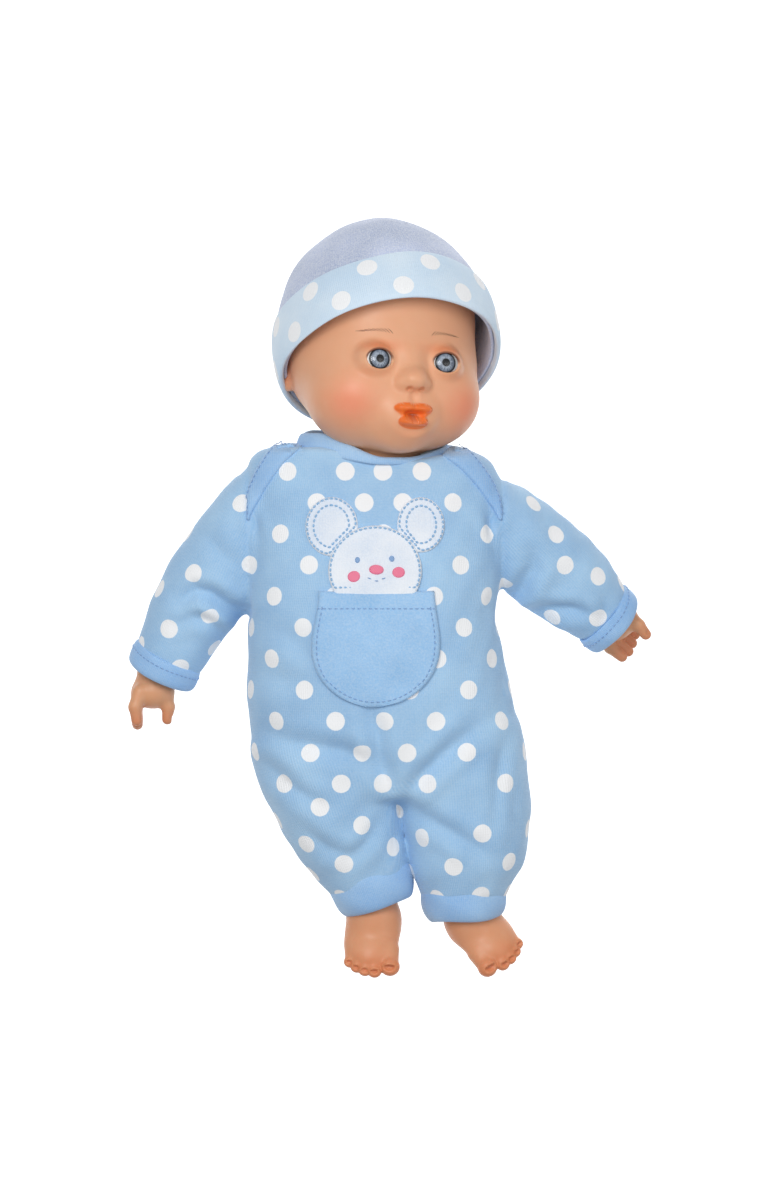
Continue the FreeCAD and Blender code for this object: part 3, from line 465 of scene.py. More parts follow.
# %% Vinyl and plastics
def vinyl_finish():
    """Soft vinyl: colours and gloss from the mesh, a faint orange-peel skin, light let in."""
    m = finish("skin_vinyl", srgb(236, 178, 142), 0.42, Subsurface_Weight=0.14, Subsurface_Scale=0.004,
               Specular_IOR_Level=0.4)
    m.node_tree.nodes["Principled BSDF"].inputs["Subsurface Radius"].default_value = (1.0, 0.4, 0.25)
    paint = add_node(m, "ShaderNodeAttribute", attribute_name="paint").outputs["Color"]
    wet = add_node(m, "ShaderNodeAttribute", attribute_name="wet").outputs["Fac"]
    mottle = noise(m, coordinates(m), 160.0, 3.0)
    connect(m, mixed(m, ranged(m, mottle, 0.3, 0.7, 0.0, 0.05), paint, srgb(255, 220, 190)), "Base Color")
    dull = ranged(m, noise(m, coordinates(m), 400.0), 0.3, 0.7, 0.38, 0.46)
    shine = add_node(m, "ShaderNodeMix", {0: wet, 2: dull, 3: 0.12}).outputs[0]
    connect(m, shine, "Roughness")
    connect(m, add_bump(m, noise(m, coordinates(m), 1800.0), 0.10, 0.0001), "Normal")
    return m


def moulded(name, color, rough=0.4, grain=0.12, **sockets):
    m = finish(name, color, rough, **sockets)
    speck = noise(m, coordinates(m), 700.0, 3.0)
    connect(m, mixed(m, ranged(m, speck, 0.3, 0.7, 0.0, 0.08), color, tuple(c * 0.6 for c in color)),
            "Base Color")
    connect(m, ranged(m, noise(m, coordinates(m), 260.0), 0.3, 0.7, rough * 0.85, min(1.0, rough * 1.2)),
            "Roughness")
    connect(m, add_bump(m, speck, grain, 0.0001), "Normal")
    return m


skin_vinyl = vinyl_finish()
eye_white = moulded("eye_white", srgb(244, 243, 240), 0.12, 0.02, Coat_Weight=0.5, Coat_Roughness=0.03)
NODE_FINISHES = {
    "nylon": moulded("nylon", srgb(238, 236, 228), 0.45),
    "white_plastic": moulded("white_plastic", srgb(236, 236, 232), 0.4),
    "button_plastic": moulded("button_plastic", srgb(214, 52, 44), 0.25),
    "black_plastic": moulded("black_plastic", srgb(28, 28, 30), 0.45),
    "plated_steel": moulded("plated_steel", srgb(196, 197, 200), 0.32, Metallic=1.0),
    "cell_steel": moulded("cell_steel", srgb(214, 214, 216), 0.2, Metallic=1.0),
    "paper_cone": moulded("paper_cone", srgb(52, 50, 48), 0.85, 0.5),
    "magnet_steel": moulded("magnet_steel", srgb(150, 151, 156), 0.35, Metallic=1.0),
    "circuit_green": moulded("circuit_green", srgb(22, 96, 54), 0.3),
    "epoxy_black": moulded("epoxy_black", srgb(16, 16, 16), 0.15),
    "wire_red": moulded("wire_red", srgb(186, 32, 24), 0.4),
    "hook_tape": hook_tape,
    "cotton_lining": cotton_cloth,
    "polyester_filling": fibre_fill,
}
SLOT_OF = {s["node"]: s["material_slot"] for s in frame["record"]["subparts"]}
for node_name, node_object in frame["nodes"].items():
    material = NODE_FINISHES.get(SLOT_OF[node_name], NODE_FINISHES["white_plastic"])
    node_object.data.materials.clear()
    node_object.data.materials.append(material)
print("finishes on", len(frame["nodes"]), "nodes of the model")

# %% [markdown]
# ## The head
# A rotocast vinyl head is one smooth shell.  Every point of it can be seen from a point inside the
# skull, so rays sent out from there give one clean grid, and the rays are packed closer together
# over the face, where the lids, the nostrils and the lips need them.

# %% Shape of the head, in the skull's frame
LIP_PARTS = (((2.8, -39.2, -39.7), (4.9, 3.2, 2.0)), ((0, -39.5, -44.9), (5.9, 4.0, 2.6)))
OPENING = ((0, -42.8, -42.0), (5.0, 4.8, 1.45))
EYE = np.array([13.8, -32.5, -20.8])
LIDS = (EYE + (0, -8.6, 0.0), (5.7, 5.0, 4.0))


def lips_distance(q):
    upper = egg(q, *LIP_PARTS[0])
    lower = egg(q, *LIP_PARTS[1])
    corner = bone(q, (3.5, -39.0, -41.6), (7.4, -37.0, -41.4), 1.9, 0.7)
    return soft_min(soft_min(upper, corner, 1.2), lower, 0.8)


def head_distance(p):
    q = p.copy()
    q[..., 0] = np.abs(q[..., 0])
    d = egg(q, (0, 0, 0), (37.8, 38.8, 38.2))
    d = soft_min(d, egg(q, (0, -4.5, -19), (37.2, 35.2, 26)), 6)
    d = soft_min(d, egg(q, (0, -12.5, -34), (30.5, 25.5, 20)), 8)
    d = soft_min(d, egg(q, (17.0, -18.5, -32.5), (16.5, 17.5, 15.5)), 7)
    d = soft_min(d, egg(q, (0, -27.5, -43.6), (11.0, 10.0, 10.4)), 8)
    d = soft_max(d, -egg(q, (13.8, -44.6, -19.2), (10.5, 6.2, 6.4)), 5)
    d = soft_min(d, bone(q, (0, -34.2, -18), (0, -37.8, -26.5), 3.2, 3.6), 5)
    d = soft_min(d, egg(q, (0, -40.4, -28.6), (5.3, 4.9, 4.3)), 3.0)
    d = soft_min(d, egg(q, (4.7, -38.1, -29.8), (2.5, 3.2, 2.3)), 2.4)
    d = soft_max(d, -egg(q, (2.5, -42.2, -32.6), (1.0, 2.0, 0.8)), 0.9)
    d = soft_min(d, egg(q, (0, -35.0, -41.0), (9.5, 4.5, 8.0)), 5)
    d = soft_max(d, -egg(q, (0, -41.8, -35.6), (1.2, 2.2, 2.4)), 2.4)
    d = soft_min(d, lips_distance(q), 0.9)
    d = soft_max(d, -egg(q, *OPENING), 0.9)
    d = soft_max(d, -egg(q, (0, -41.5, -48.6), (6.0, 3.4, 1.5)), 2.5)
    d = soft_min(d, egg(q, EYE, (8.75, 8.7, 8.5)), 1.6)
    d = soft_max(d, -egg(q, *LIDS), 0.5)
    ear = soft_max(egg(q, (35.0, 7.5, -20.5), (3.2, 5.2, 7.0)),
                   -egg(q, (39.4, 5.0, -20.0), (3.0, 2.6, 3.8)), 1.2)
    d = soft_min(d, ear, 1.6)
    neck = np.hypot(q[..., 0], q[..., 1] - 6.0) - 19.4
    neck = soft_max(neck, np.maximum(-65.6 - q[..., 2], q[..., 2] + 22), 2.0)
    return soft_min(d, neck, 5)


# %% Rays over the head
def eased(count, low, high, centre, gather):
    """Angles from low to high, packed about the centre."""
    t = np.linspace(-1, 1, count)
    s = gather * t + (1 - gather) * t ** 3
    return np.where(s < 0, centre + s * (centre - low), centre + s * (high - centre))


def star(distance, centre, around, heights, far):
    """A closed grid on the first surface that rays from the centre meet."""
    a, h = np.meshgrid(around, heights, indexing="ij")
    way = np.stack([np.sin(a) * np.cos(h), -np.cos(a) * np.cos(h), np.sin(h)], -1).reshape(-1, 3)
    way = np.concatenate([way, [[0, 0, -1], [0, 0, 1]]])
    t = np.full(len(way), 6.0)
    for _ in range(46):
        t = np.clip(t - 0.85 * distance(centre + way * t[:, None]), 3.0, far)
    verts = centre + way * t[:, None]
    n, m = len(around), len(heights)
    i, j = np.meshgrid(np.arange(n), np.arange(m - 1), indexing="ij")
    a0, a1 = i * m + j, ((i + 1) % n) * m + j
    faces = np.stack([a0, a1, a1 + 1, a0 + 1], -1).reshape(-1, 4).tolist()
    bottom, top = n * m, n * m + 1
    for k in range(n):
        after = (k + 1) % n
        faces.append([bottom, after * m, k * m])
        faces.append([top, k * m + m - 1, after * m + m - 1])
    return verts, faces


HEAD_CENTRE = np.array([0.0, -6.0, -16.0])
around = eased(361, -math.pi, math.pi, 0.0, 0.42)[:-1]
heights = eased(262, math.radians(-89), math.radians(89), math.radians(-22), 0.40)
local, head_faces = star(head_distance, HEAD_CENTRE, around, heights, 75.0)
head = make_object("head_skin", out_of(SKULL, local), head_faces)
print("head", len(local), "vertices; chin at", out_of(SKULL, local)[:, 2][local[:, 1] < -20].min().round(1))

# %% Sprayed colour of the head, with painted shade under the chin
def paint_over(paint, mask, color):
    return paint * (1 - mask[:, None]) + np.array(color) * mask[:, None]


def near(p, centre, radii):
    """1 at the centre of a soft spot, falling away over its radii."""
    q = (p - np.array(centre)) / np.array(radii, float)
    return np.exp(-(q * q).sum(-1))


folded = np.abs(local[:, 0])[:, None] * [1, 0, 0] + local * [0, 1, 1]
paint = np.tile(srgb(237, 174, 134), (len(local), 1))
# Painted shade: the underside of the chin and the neck are darkened towards the bottom, where shade would fall.
paint = paint_over(paint, 0.30 * smoothstep(-50, -62, local[:, 2]), srgb(222, 150, 116))
paint = paint_over(paint, 0.50 * near(folded, (23, -31, -37), (9, 12, 8.5)), srgb(252, 122, 92))
paint = paint_over(paint, 0.62 * near(folded, (13.8, -40, -15.4), (8.5, 6, 2.4)), srgb(232, 122, 66))
paint = paint_over(paint, 0.30 * near(folded, (17.5, -38, -25.5), (6, 6, 2.2)), srgb(226, 130, 80))
paint = paint_over(paint, 0.25 * near(folded, (0, -38, -50), (12, 9, 5)), srgb(232, 140, 96))
paint = paint_over(paint, 0.35 * near(folded, (36, 3, -22), (8, 7, 9)), srgb(238, 130, 92))
lid = egg(folded, *LIDS)
lash = smoothstep(0.75, 0.15, np.abs(lid - 0.15)) * smoothstep(-21.5, -19.2, local[:, 2]) * smoothstep(-34,
                                        -36, local[:, 1])
paint = paint_over(paint, 0.85 * lash, srgb(96, 44, 24))
lips = smoothstep(0.55, 0.05, lips_distance(folded)) * smoothstep(-36.8, -37.4, local[:, 2])
paint = paint_over(paint, lips, srgb(246, 120, 48))
opening = smoothstep(0.9, 0.2, egg(folded, *OPENING)) * smoothstep(-38.9, -37.5, local[:, 1])
paint = paint_over(paint, opening, srgb(140, 26, 18))
nostril = smoothstep(0.8, 0.0, egg(folded, (2.5, -41.2, -32.2), (1.0, 2.2, 0.8)))
paint = paint_over(paint, 0.45 * nostril, srgb(206, 116, 66))
set_values(head, "paint", np.column_stack([paint, np.ones(len(paint))]), "FLOAT_COLOR")
set_values(head, "wet", np.maximum(lips, 0.6 * opening))
head.data.materials.append(skin_vinyl)
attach(head, "head")
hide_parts("head_shell")

# %% [markdown]
# ## Eyes
# Each eye is a glossy white ball with a printed iris under a clear lens.  The print is drawn by
# the shader from a UV map whose first number is the distance from the pupil's centre.

# %% Iris print
def iris_finish():
    m = finish("iris_print", srgb(118, 124, 136), 0.3, Coat_Weight=0.15, Coat_Roughness=0.02)
    uv = add_node(m, "ShaderNodeSeparateXYZ", {0: coordinates(m, "UV")})
    radius, angle = uv.outputs["X"], uv.outputs["Y"]
    spokes = add_node(m, "ShaderNodeCombineXYZ", {"X": math_node(m, "MULTIPLY", radius, 1.5),
                                                  "Y": math_node(m, "MULTIPLY", angle, 26.0)})
    fibres = noise(m, spokes.outputs[0], 1.6, 3.0)
    ring = ranged(m, radius, 0.42, 0.95)
    color = mixed(m, ring, srgb(196, 206, 218), srgb(104, 118, 140))
    color = mixed(m, ranged(m, fibres, 0.42, 0.62, 0.0, 0.75), color, srgb(62, 74, 96))
    color = mixed(m, ranged(m, radius, 0.36, 0.44, 0.75, 0.0), color, srgb(70, 74, 84))
    color = mixed(m, ranged(m, radius, 0.35, 0.39, 1.0, 0.0), color, srgb(10, 9, 11))
    color = mixed(m, ranged(m, radius, 0.78, 0.88), color, srgb(12, 14, 20))
    connect(m, color, "Base Color")
    return m


def lens_finish():
    """A clear shell that only adds its shine."""
    m = bpy.data.materials.new("clear_lens")
    m.use_nodes = True
    nodes, links = m.node_tree.nodes, m.node_tree.links
    nodes.remove(nodes["Principled BSDF"])
    clear = nodes.new("ShaderNodeBsdfTransparent")
    shine = nodes.new("ShaderNodeBsdfAnisotropic")
    shine.inputs["Roughness"].default_value = 0.06
    amount = nodes.new("ShaderNodeFresnel")
    amount.inputs["IOR"].default_value = 1.28
    speck = add_node(m, "ShaderNodeBump", {"Height": noise(m, coordinates(m), 300.0), "Strength": 0.01})
    links.new(speck.outputs["Normal"], shine.inputs["Normal"])
    blend = nodes.new("ShaderNodeMixShader")
    links.new(amount.outputs[0], blend.inputs[0])
    links.new(clear.outputs[0], blend.inputs[1])
    links.new(shine.outputs[0], blend.inputs[2])
    links.new(blend.outputs[0], nodes["Material Output"].inputs["Surface"])
    return m


iris_print, clear_lens = iris_finish(), lens_finish()

# %% Balls, prints and lenses
def cap_grid(radius, rings, segments, depth):
    """Rings of points from a centre out to a radius, with the depth of each ring given."""
    verts, faces = [(0, 0, depth(0.0))], []
    for i in range(1, rings + 1):
        r = radius * i / rings
        for k in range(segments):
            a = 2 * math.pi * k / segments
            verts.append((r * math.cos(a), r * math.sin(a), depth(r)))
    for k in range(segments):
        faces.append((0, 1 + k, 1 + (k + 1) % segments))
    for i in range(1, rings):
        for k in range(segments):
            a, b = 1 + (i - 1) * segments + k, 1 + (i - 1) * segments + (k + 1) % segments
            faces.append((a, a + segments, b + segments, b))
    return np.array(verts), faces


def closed_back(verts, faces, segments, thick):
    """Closes a cap with a flat back a little behind its rim."""
    rim = len(verts) - segments
    back = verts[rim:] - (0, 0, thick)
    middle = len(verts) + segments
    verts = np.concatenate([verts, back, [back.mean(0)]])
    for k in range(segments):
        after = (k + 1) % segments
        faces.append((rim + k, rim + segments + k, rim + segments + after, rim + after))
        faces.append((middle, rim + segments + after, rim + segments + k))
    return verts, faces


SEGMENTS, IRIS = 64, 4.2
for side, name in ((-1, "right"), (1, "left")):
    gaze = turned("Z", -side * 1.0 - 3.0) @ turned("X", 90.0)
    eye = (SKULL[0] @ gaze, out_of(SKULL, EYE * (side, 1, 1)))
    verts, faces = cap_grid(1.0, 24, SEGMENTS, lambda r: 0.0)
    angle = np.linalg.norm(verts[:, :2], axis=1) * math.pi
    spread = np.where(angle > 1e-9, np.sin(angle) / np.maximum(np.linalg.norm(verts[:, :2], axis=1), 1e-9), 0)
    ball = 7.9 * np.column_stack([verts[:, 0] * spread, verts[:, 1] * spread, np.cos(angle)])
    ball_object = make_object(f"{name}_eye_ball_white", out_of(eye, ball), faces)
    modifier = ball_object.modifiers.new("weld", "WELD")
    modifier.merge_threshold = 0.00002
    bake(ball_object)
    ball_object.data.materials.append(eye_white)
    print_depth = lambda r: math.sqrt(7.96 ** 2 - r * r)
    verts, faces = cap_grid(IRIS, 12, SEGMENTS, print_depth)
    verts, faces = closed_back(verts, faces, SEGMENTS, 0.4)
    iris = make_object(f"{name}_iris_disc", out_of(eye, verts), faces)
    layer = iris.data.uv_layers.new(name="cloth")
    flat = np.column_stack([np.linalg.norm(verts[:, :2], axis=1) / IRIS,
                            np.arctan2(verts[:, 1], verts[:, 0]) / (2 * math.pi)])
    for polygon in iris.data.polygons:
        turns = [flat[v][1] for v in polygon.vertices if flat[v][0] > 1e-6]
        for loop in polygon.loop_indices:
            u, v = flat[iris.data.loops[loop].vertex_index]
            v = v + 1 if max(turns) - v > 0.5 else v
            layer.data[loop].uv = (u, v if u > 1e-6 else sum(turns) / len(turns))
    iris.data.materials.append(iris_print)
    dome = lambda r: math.sqrt(7.0 ** 2 - r * r) + 1.35
    verts, faces = cap_grid(5.7, 14, SEGMENTS, dome)
    verts, faces = closed_back(verts, faces, SEGMENTS, 0.25)
    lens = make_object(f"{name}_lens_dome", out_of(eye, verts), faces)
    lens.data.materials.append(clear_lens)
    for thing, node, slot in ((ball_object, f"{name}_eye_ball", "eye_white"),
                              (iris, f"{name}_iris", "iris_print"),
                              (lens, f"{name}_eye_lens", "clear_lens")):
        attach(thing, "head")
        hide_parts(node)
print("eyes made")

# %% [markdown]
# ## Eyebrows
# The brows are six or seven short printed strokes on each side, so they are thin raised slips of
# ink that lie on the skin and taper at both ends.

# %% Brow strokes
head_tree = BVHTree.FromPolygons([Vector(v) for v in local], head_faces)


def on_face(x, z):
    """The point of the face at x, z of the skull's frame, and its outward direction."""
    hit = head_tree.ray_cast(Vector((x, -80, z)), Vector((0, 1, 0)))
    return np.array(hit[0]), np.array(hit[1])


def ink_stroke(path, width, lift=0.05):
    """A slip along points on the face that is widest in the middle."""
    verts, faces, count = [], [], len(path)
    for i, (x, z) in enumerate(path):
        point, normal = on_face(x, z)
        ahead = np.array(path[min(i + 1, count - 1)]) - np.array(path[max(i - 1, 0)])
        side = np.cross(normal, (ahead[0], 0, ahead[1]))
        side /= np.linalg.norm(side)
        half = width / 2 * math.sin(math.pi * (0.12 + 0.80 * i / (count - 1)))
        for across, up in ((-half, -0.05), (0, lift), (half, -0.05), (0, -0.12)):
            verts.append(point + side * across + normal * up)
    for i in range(count - 1):
        for k in range(4):
            a, b = 4 * i + k, 4 * i + (k + 1) % 4
            faces.append((a, b, b + 4, a + 4))
    faces += [(3, 2, 1, 0), tuple(4 * (count - 1) + k for k in range(4))]
    return verts, faces


brow_ink = moulded("brow_ink", srgb(104, 54, 28), 0.6)
verts, faces = [], []
for side in (-1, 1):
    for i in range(9):
        t = i / 8
        start = (side * (8.0 + 10.2 * t), -10.4 + 2.6 * t - 1.6 * t * t)
        lean = (side * (1.7 + 1.3 * t), 2.5 - 1.9 * t)
        path = [(start[0] + lean[0] * s + side * 0.3 * s * s, start[1] + lean[1] * s - 0.35 * s * s)
                for s in np.linspace(0, 1, 6)]
        v, f = ink_stroke(path, 0.46)
        faces += [tuple(k + len(verts) for k in face) for face in f]
        verts += v
brows = make_object("brow_strokes", out_of(SKULL, np.array(verts)), faces)
brows.data.materials.append(brow_ink)
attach(brows, "head")
print("brows", len(faces), "faces")

# %% [markdown]
# ## The hat
# The hat is a brushed-knit dome with a jersey band turned up round its edge.  Both are surfaces of
# revolution about the hat's own leaning axis: a profile is drawn once and swept round, and slow
# waves in the sweep keep the cloth from looking machined.

# %% Sweeping a profile
def spun(frame, profile, segments, wobble=lambda angle, point: (0.0, 0.0)):
    """Sweeps closed profile points (radius, height) about a frame's Z. Wobble moves each point."""
    verts, faces, count = [], [], len(profile)
    for i in range(segments):
        a = 2 * math.pi * i / segments
        for r, z in profile:
            dr, dz = wobble(a, (r, z))
            verts.append(((r + dr) * math.sin(a), -(r + dr) * math.cos(a), z + dz))
    for i in range(segments):
        for k in range(count):
            a, b = i * count + k, i * count + (k + 1) % count
            c, d = ((i + 1) % segments) * count + (k + 1) % count, ((i + 1) % segments) * count + k
            faces.append((a, d, c, b))
    return out_of(frame, np.array(verts)), faces


def spun_map(thing, frame, profile, segments, radius):
    """A cloth map in metres: once round is the girth, and the profile's length goes up."""
    lengths = np.concatenate([[0], np.cumsum(np.linalg.norm(np.diff(np.array(profile), axis=0), axis=1))])
    count = len(profile)
    layer = thing.data.uv_layers.new(name="cloth")
    girth = 2 * math.pi * radius * MM
    for polygon in thing.data.polygons:
        ids = [thing.data.loops[l].vertex_index for l in polygon.loop_indices]
        columns = [i // count for i in ids]
        for loop, index in zip(polygon.loop_indices, ids):
            column = index // count
            if max(columns) - column > segments / 2:
                column += segments
            layer.data[loop].uv = (girth * column / segments, lengths[index % count] * MM)


def rounded(points, closed=True, each=4):
    """A smooth profile through points."""
    pts = np.array(points, float)
    n, out = len(pts), []
    for i in range(n if closed else n - 1):
        p0, p1, p2, p3 = (pts[(i + k) % n] if closed else pts[min(max(i + k, 0), n - 1)] for k in (-1, 0, 1,
                                                                                                   2))
        for t in np.arange(each) / each:
            out.append(0.5 * (2 * p1 + (p2 - p0) * t + (2 * p0 - 5 * p1 + 4 * p2 - p3) * t ** 2
                              + (3 * p1 - p0 - 3 * p2 + p3) * t ** 3))
    return out


# %% Hat crown
def dome_points(radius, edge, count=20):
    """Points from near the top of a dome down to its straight edge."""
    points = [(radius * math.sin(a), radius * math.cos(a)) for a in np.linspace(0.012, math.pi / 2, count)]
    return points + [(radius, edge * t) for t in (0.33, 0.66, 1.0)]


def hat_waves(angle, point):
    r, z = point
    soft = 0.45 * math.sin(3 * angle + 0.6) + 0.3 * math.sin(5 * angle + z * 0.09) + 0.2 * math.sin(8 * angle + 1.9)
    taper = 1.3 * smoothstep(3, 16, z) * smoothstep(38, 30, z)
    return soft * smoothstep(8, 30, r) * 0.8 - taper, 0.25 * math.sin(4 * angle + 2.0) * smoothstep(20, 35, r)


crown_profile = dome_points(41.9, -18.0) + [(r, z) for r, z in reversed(dome_points(40.6, -18.0))]
crown_profile = [(max(r, 0.3), z) for r, z in crown_profile]
verts, faces = spun(HAT, crown_profile, 128, hat_waves)
crown = make_object("hat_crown_knit", verts, faces)
spun_map(crown, HAT, crown_profile, 128, 41)
crown.data.materials.append(hat_fleece)
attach(crown, "hat")
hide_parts("hat_crown")

# %% Turned-up band of the hat
band_points = [(42.3, -19.8), (43.2, -20.5), (44.1, -19.6), (44.8, -16.4), (45.0, -11.2), (44.8, -5.2),
               (44.1, -0.5),
               (43.3, 1.5), (42.6, 1.2), (42.3, -1.0), (42.2, -7.0), (42.2, -13.0), (42.1, -18.0)]
band_profile = rounded(band_points, each=5)


def band_waves(angle, point):
    r, z = point
    dr, dz = hat_waves(angle, (42, z))
    flare = 0.35 * math.sin(2 * angle + 0.4) * smoothstep(42.6, 44.7, r)
    return dr + flare, dz + 0.5 * math.sin(3 * angle + 1.1) * smoothstep(-5, 1, z)


verts, faces = spun(HAT, band_profile, 220, band_waves)
band = make_object("hat_band_jersey", verts, faces)
spun_map(band, HAT, band_profile, 220, 44)


def dot_field(points, centres):
    """Distance from each point to the nearest dot's centre, in millimetres."""
    out = np.full(len(points), 99.0)
    for centre in centres:
        out = np.minimum(out, np.linalg.norm(points - centre, axis=1))
    return out


dots_round = 11
band_dots = []
for i in range(2 * dots_round):
    a = 2 * math.pi * (i + 0.35) / (2 * dots_round)
    low = i % 2
    r, z = (44.9, -15.4) if low else (44.7, -3.8)
    dr, dz = band_waves(a, (r, z))
    band_dots.append(((r + dr) * math.sin(a), -(r + dr) * math.cos(a), z + dz))
set_values(band, "dot", dot_field(points_of(band), out_of(HAT, np.array(band_dots))))
band.data.materials.append(hat_jersey)
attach(band, "hat")
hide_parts("hat_brim")
print("hat made")

# %% [markdown]
# ## The romper
# The romper is one stretchy knit suit pulled over a stuffed body, so its form is the body's: a
# rounded trunk, two sleeves and two trouser legs, each a stack of soft sections along its own line.
# Joining them with a soft minimum gives the smooth shoulder and the tight crotch.

# %% Lines of the limbs
def limb_frame(start, end, outward):
    """A frame at a joint: Z runs down the limb and X points to its outer side."""
    z = np.array(end, float) - np.array(start, float)
    z /= np.linalg.norm(z)
    x = np.array(outward, float) - np.dot(outward, z) * z
    x /= np.linalg.norm(x)
    return np.stack([x, np.cross(z, x), z], -1), np.array(start, float)


LIMBS = {
    "right_arm": limb_frame((-59, 3, 183), (-91.5, 13, 117.5), (-1, 0, 0.5)),
    "left_arm": limb_frame((48.5, 3, 183), (88, 18, 144), (1, 0, 1)),
    "right_leg": limb_frame((-26, 0, 84), (-6.5, 0, 27.5), (-1, 0, -0.3)),
    "left_leg": limb_frame((27, 0, 84), (31.5, 0, 27.5), (1, 0, 0.1)),
}
TRUNK = softened([(70, -1.0, -1.0, 46, 24), (82, -1.0, -1.5, 50.0, 27), (94, -1.3, -1.5, 52.2, 30.5),
                  (110, -3.5, -1.5, 52.4, 32.6), (130, -5.3, -1.5, 50.2, 33.6), (142, -6.9, -1.5, 48.4, 33),
                  (165, -5.3, -1.3, 49.8, 30), (185, -5.6, -0.8, 50.4, 27.0), (197, -6.6, -0.3, 50.4, 25.5),
                  (205, -7.6, 0, 47.8, 25.0), (210, -9.5, 0, 40, 25), (218, -9.5, 0, 33, 25)], reach=5)
SLEEVES = {
    "right_arm": softened([(-16, -5, 0, 11, 13), (-6, -5, 0, 15.5, 17), (10, -4, 0, 17.8, 18.5),
                           (29, -1.8, 0, 18.3, 17.6),
                           (46, 0.5, 0, 16.2, 15.4), (60, 0.3, 0, 14.4, 14.0), (72, 0.3, 0, 11.5, 11.5)],
                           reach=4),
    "left_arm": softened([(-14, -5, 0, 11, 13), (-5, -5, 0, 16, 17), (8, -5.4, 0, 18.6, 18.5),
                          (27, -3.7, 0, 19.0, 17.4),
                          (40, -2.7, 0, 17.2, 16.4), (50, -2.6, 0, 14.9, 14.6), (60, -2.8, 0, 11.5, 11.5)],
                          reach=4),
}
TROUSERS = {
    "right_leg": softened([(-16, 0.8, 0, 22.8, 25), (6, 0.4, -1, 24.5, 27.0), (19, 0.2, -1, 23.4, 25.5),
                           (30, -0.7, -0.5, 21.6, 23), (40, -1.9, 0, 19.4, 20), (47, -2.7, 0, 16.7, 17),
                           (56, -3.0, 0, 14.5, 14.5)],
                          reach=4),
    "left_leg": softened([(-16, 0.8, 0, 23.8, 25), (6, 0.2, -1, 27.4, 27.5), (20, 1.8, -1, 25.8, 26),
                          (32, 1.5, -0.5, 23.9, 24), (41, 0.7, 0, 22.0, 21.5), (48, -0.9, 0, 17.9, 18),
                          (57, -1.6, 0, 15, 15)],
                         reach=4),
}
ARMHOLES = {"right_arm": -55.4, "left_arm": 44.6}
CROTCH = np.array([-0.8, 0.0, 76.0])


def leg_pair(p):
    legs = [lofted(into(LIMBS[k], p), TROUSERS[k], -16, 54, power=2.1, cap=5) for k in ("right_leg",
                                                                                        "left_leg")]
    return soft_min(legs[0], legs[1], 1.5)


def neckline(x, y):
    """The level of the neck opening's edge: low in front, higher at the sides and the back."""
    side = np.where(np.asarray(x) < 3, 4.8, 3.4) * smoothstep(4, 30, np.abs(x - 3))
    return 204.2 + np.maximum(side, 6.5 * smoothstep(-14, 14, y))


def romper_distance(p):
    trunk = lofted(p, TRUNK, 72, 216, power=2.35, cap=5)
    trunk = soft_max(trunk, p[..., 2] - neckline(p[..., 0], p[..., 1]) - 0.6, 2.5)
    d = soft_min(trunk, leg_pair(p), 5)
    for name, table in SLEEVES.items():
        ends = (-16, 70) if name == "right_arm" else (-14, 58)
        sleeve = lofted(into(LIMBS[name], p), table, *ends, power=2.05, cap=5)
        d = soft_min(d, sleeve, 4)
    return d


romper_verts, romper_faces = net_over(romper_distance, (-106, -38, 26), (106, 37, 218), 2.0)
print("romper net", len(romper_verts), len(romper_faces))

# %% [markdown]
# ## How the knit hangs
# Cotton knit over stuffing is nowhere smooth.  The cloth is held at the neck, the wrists and the
# ankles, and elsewhere deep folds are pressed in along the lines where the limbs bend: under the
# arms, at the elbows, across the groin and behind the knees.

# %% Where the cloth is held
romper = make_object("romper_whole", romper_verts, romper_faces)


def limb_level(p, name):
    return into(LIMBS[name], p)[:, 2]


def held_weights(p):
    weight = smoothstep(197, 203, p[:, 2])
    for name, level in (("right_arm", 60), ("left_arm", 48), ("right_leg", 44), ("left_leg", 45)):
        beyond = np.abs(p[:, 0]) > 58 if "arm" in name else p[:, 2] < 60
        side = p[:, 0] < CROTCH[0] if "right" in name else p[:, 0] >= CROTCH[0]
        weight = np.maximum(weight, smoothstep(level - 6, level, limb_level(p, name)) * beyond * side)
    front = smoothstep(-18, -26, p[:, 1]) * near(p, (-5, p[:, 1].min(), 150), (34, 60, 40))
    return np.maximum(weight, 0.35 * front)


romper = finer(romper)
print("romper", len(romper.data.vertices))

# %% Pressed folds
def path_distance(p, path):
    """Distance in X and Z to a line of points, and how far along it, 0 to 1."""
    path = np.array(path, float)
    lengths = np.concatenate([[0], np.cumsum(np.linalg.norm(np.diff(path, axis=0), axis=1))])
    best, where = np.full(len(p), 1e9), np.zeros(len(p))
    q = p[:, [0, 2]]
    for i in range(len(path) - 1):
        a, b = path[i], path[i + 1]
        t = np.clip((q - a) @ (b - a) / np.dot(b - a, b - a), 0, 1)
        d = np.linalg.norm(q - a - t[:, None] * (b - a), axis=1)
        closer = d < best
        best = np.where(closer, d, best)
        where = np.where(closer, (lengths[i] + t * (lengths[i + 1] - lengths[i])) / lengths[-1], where)
    return best, where


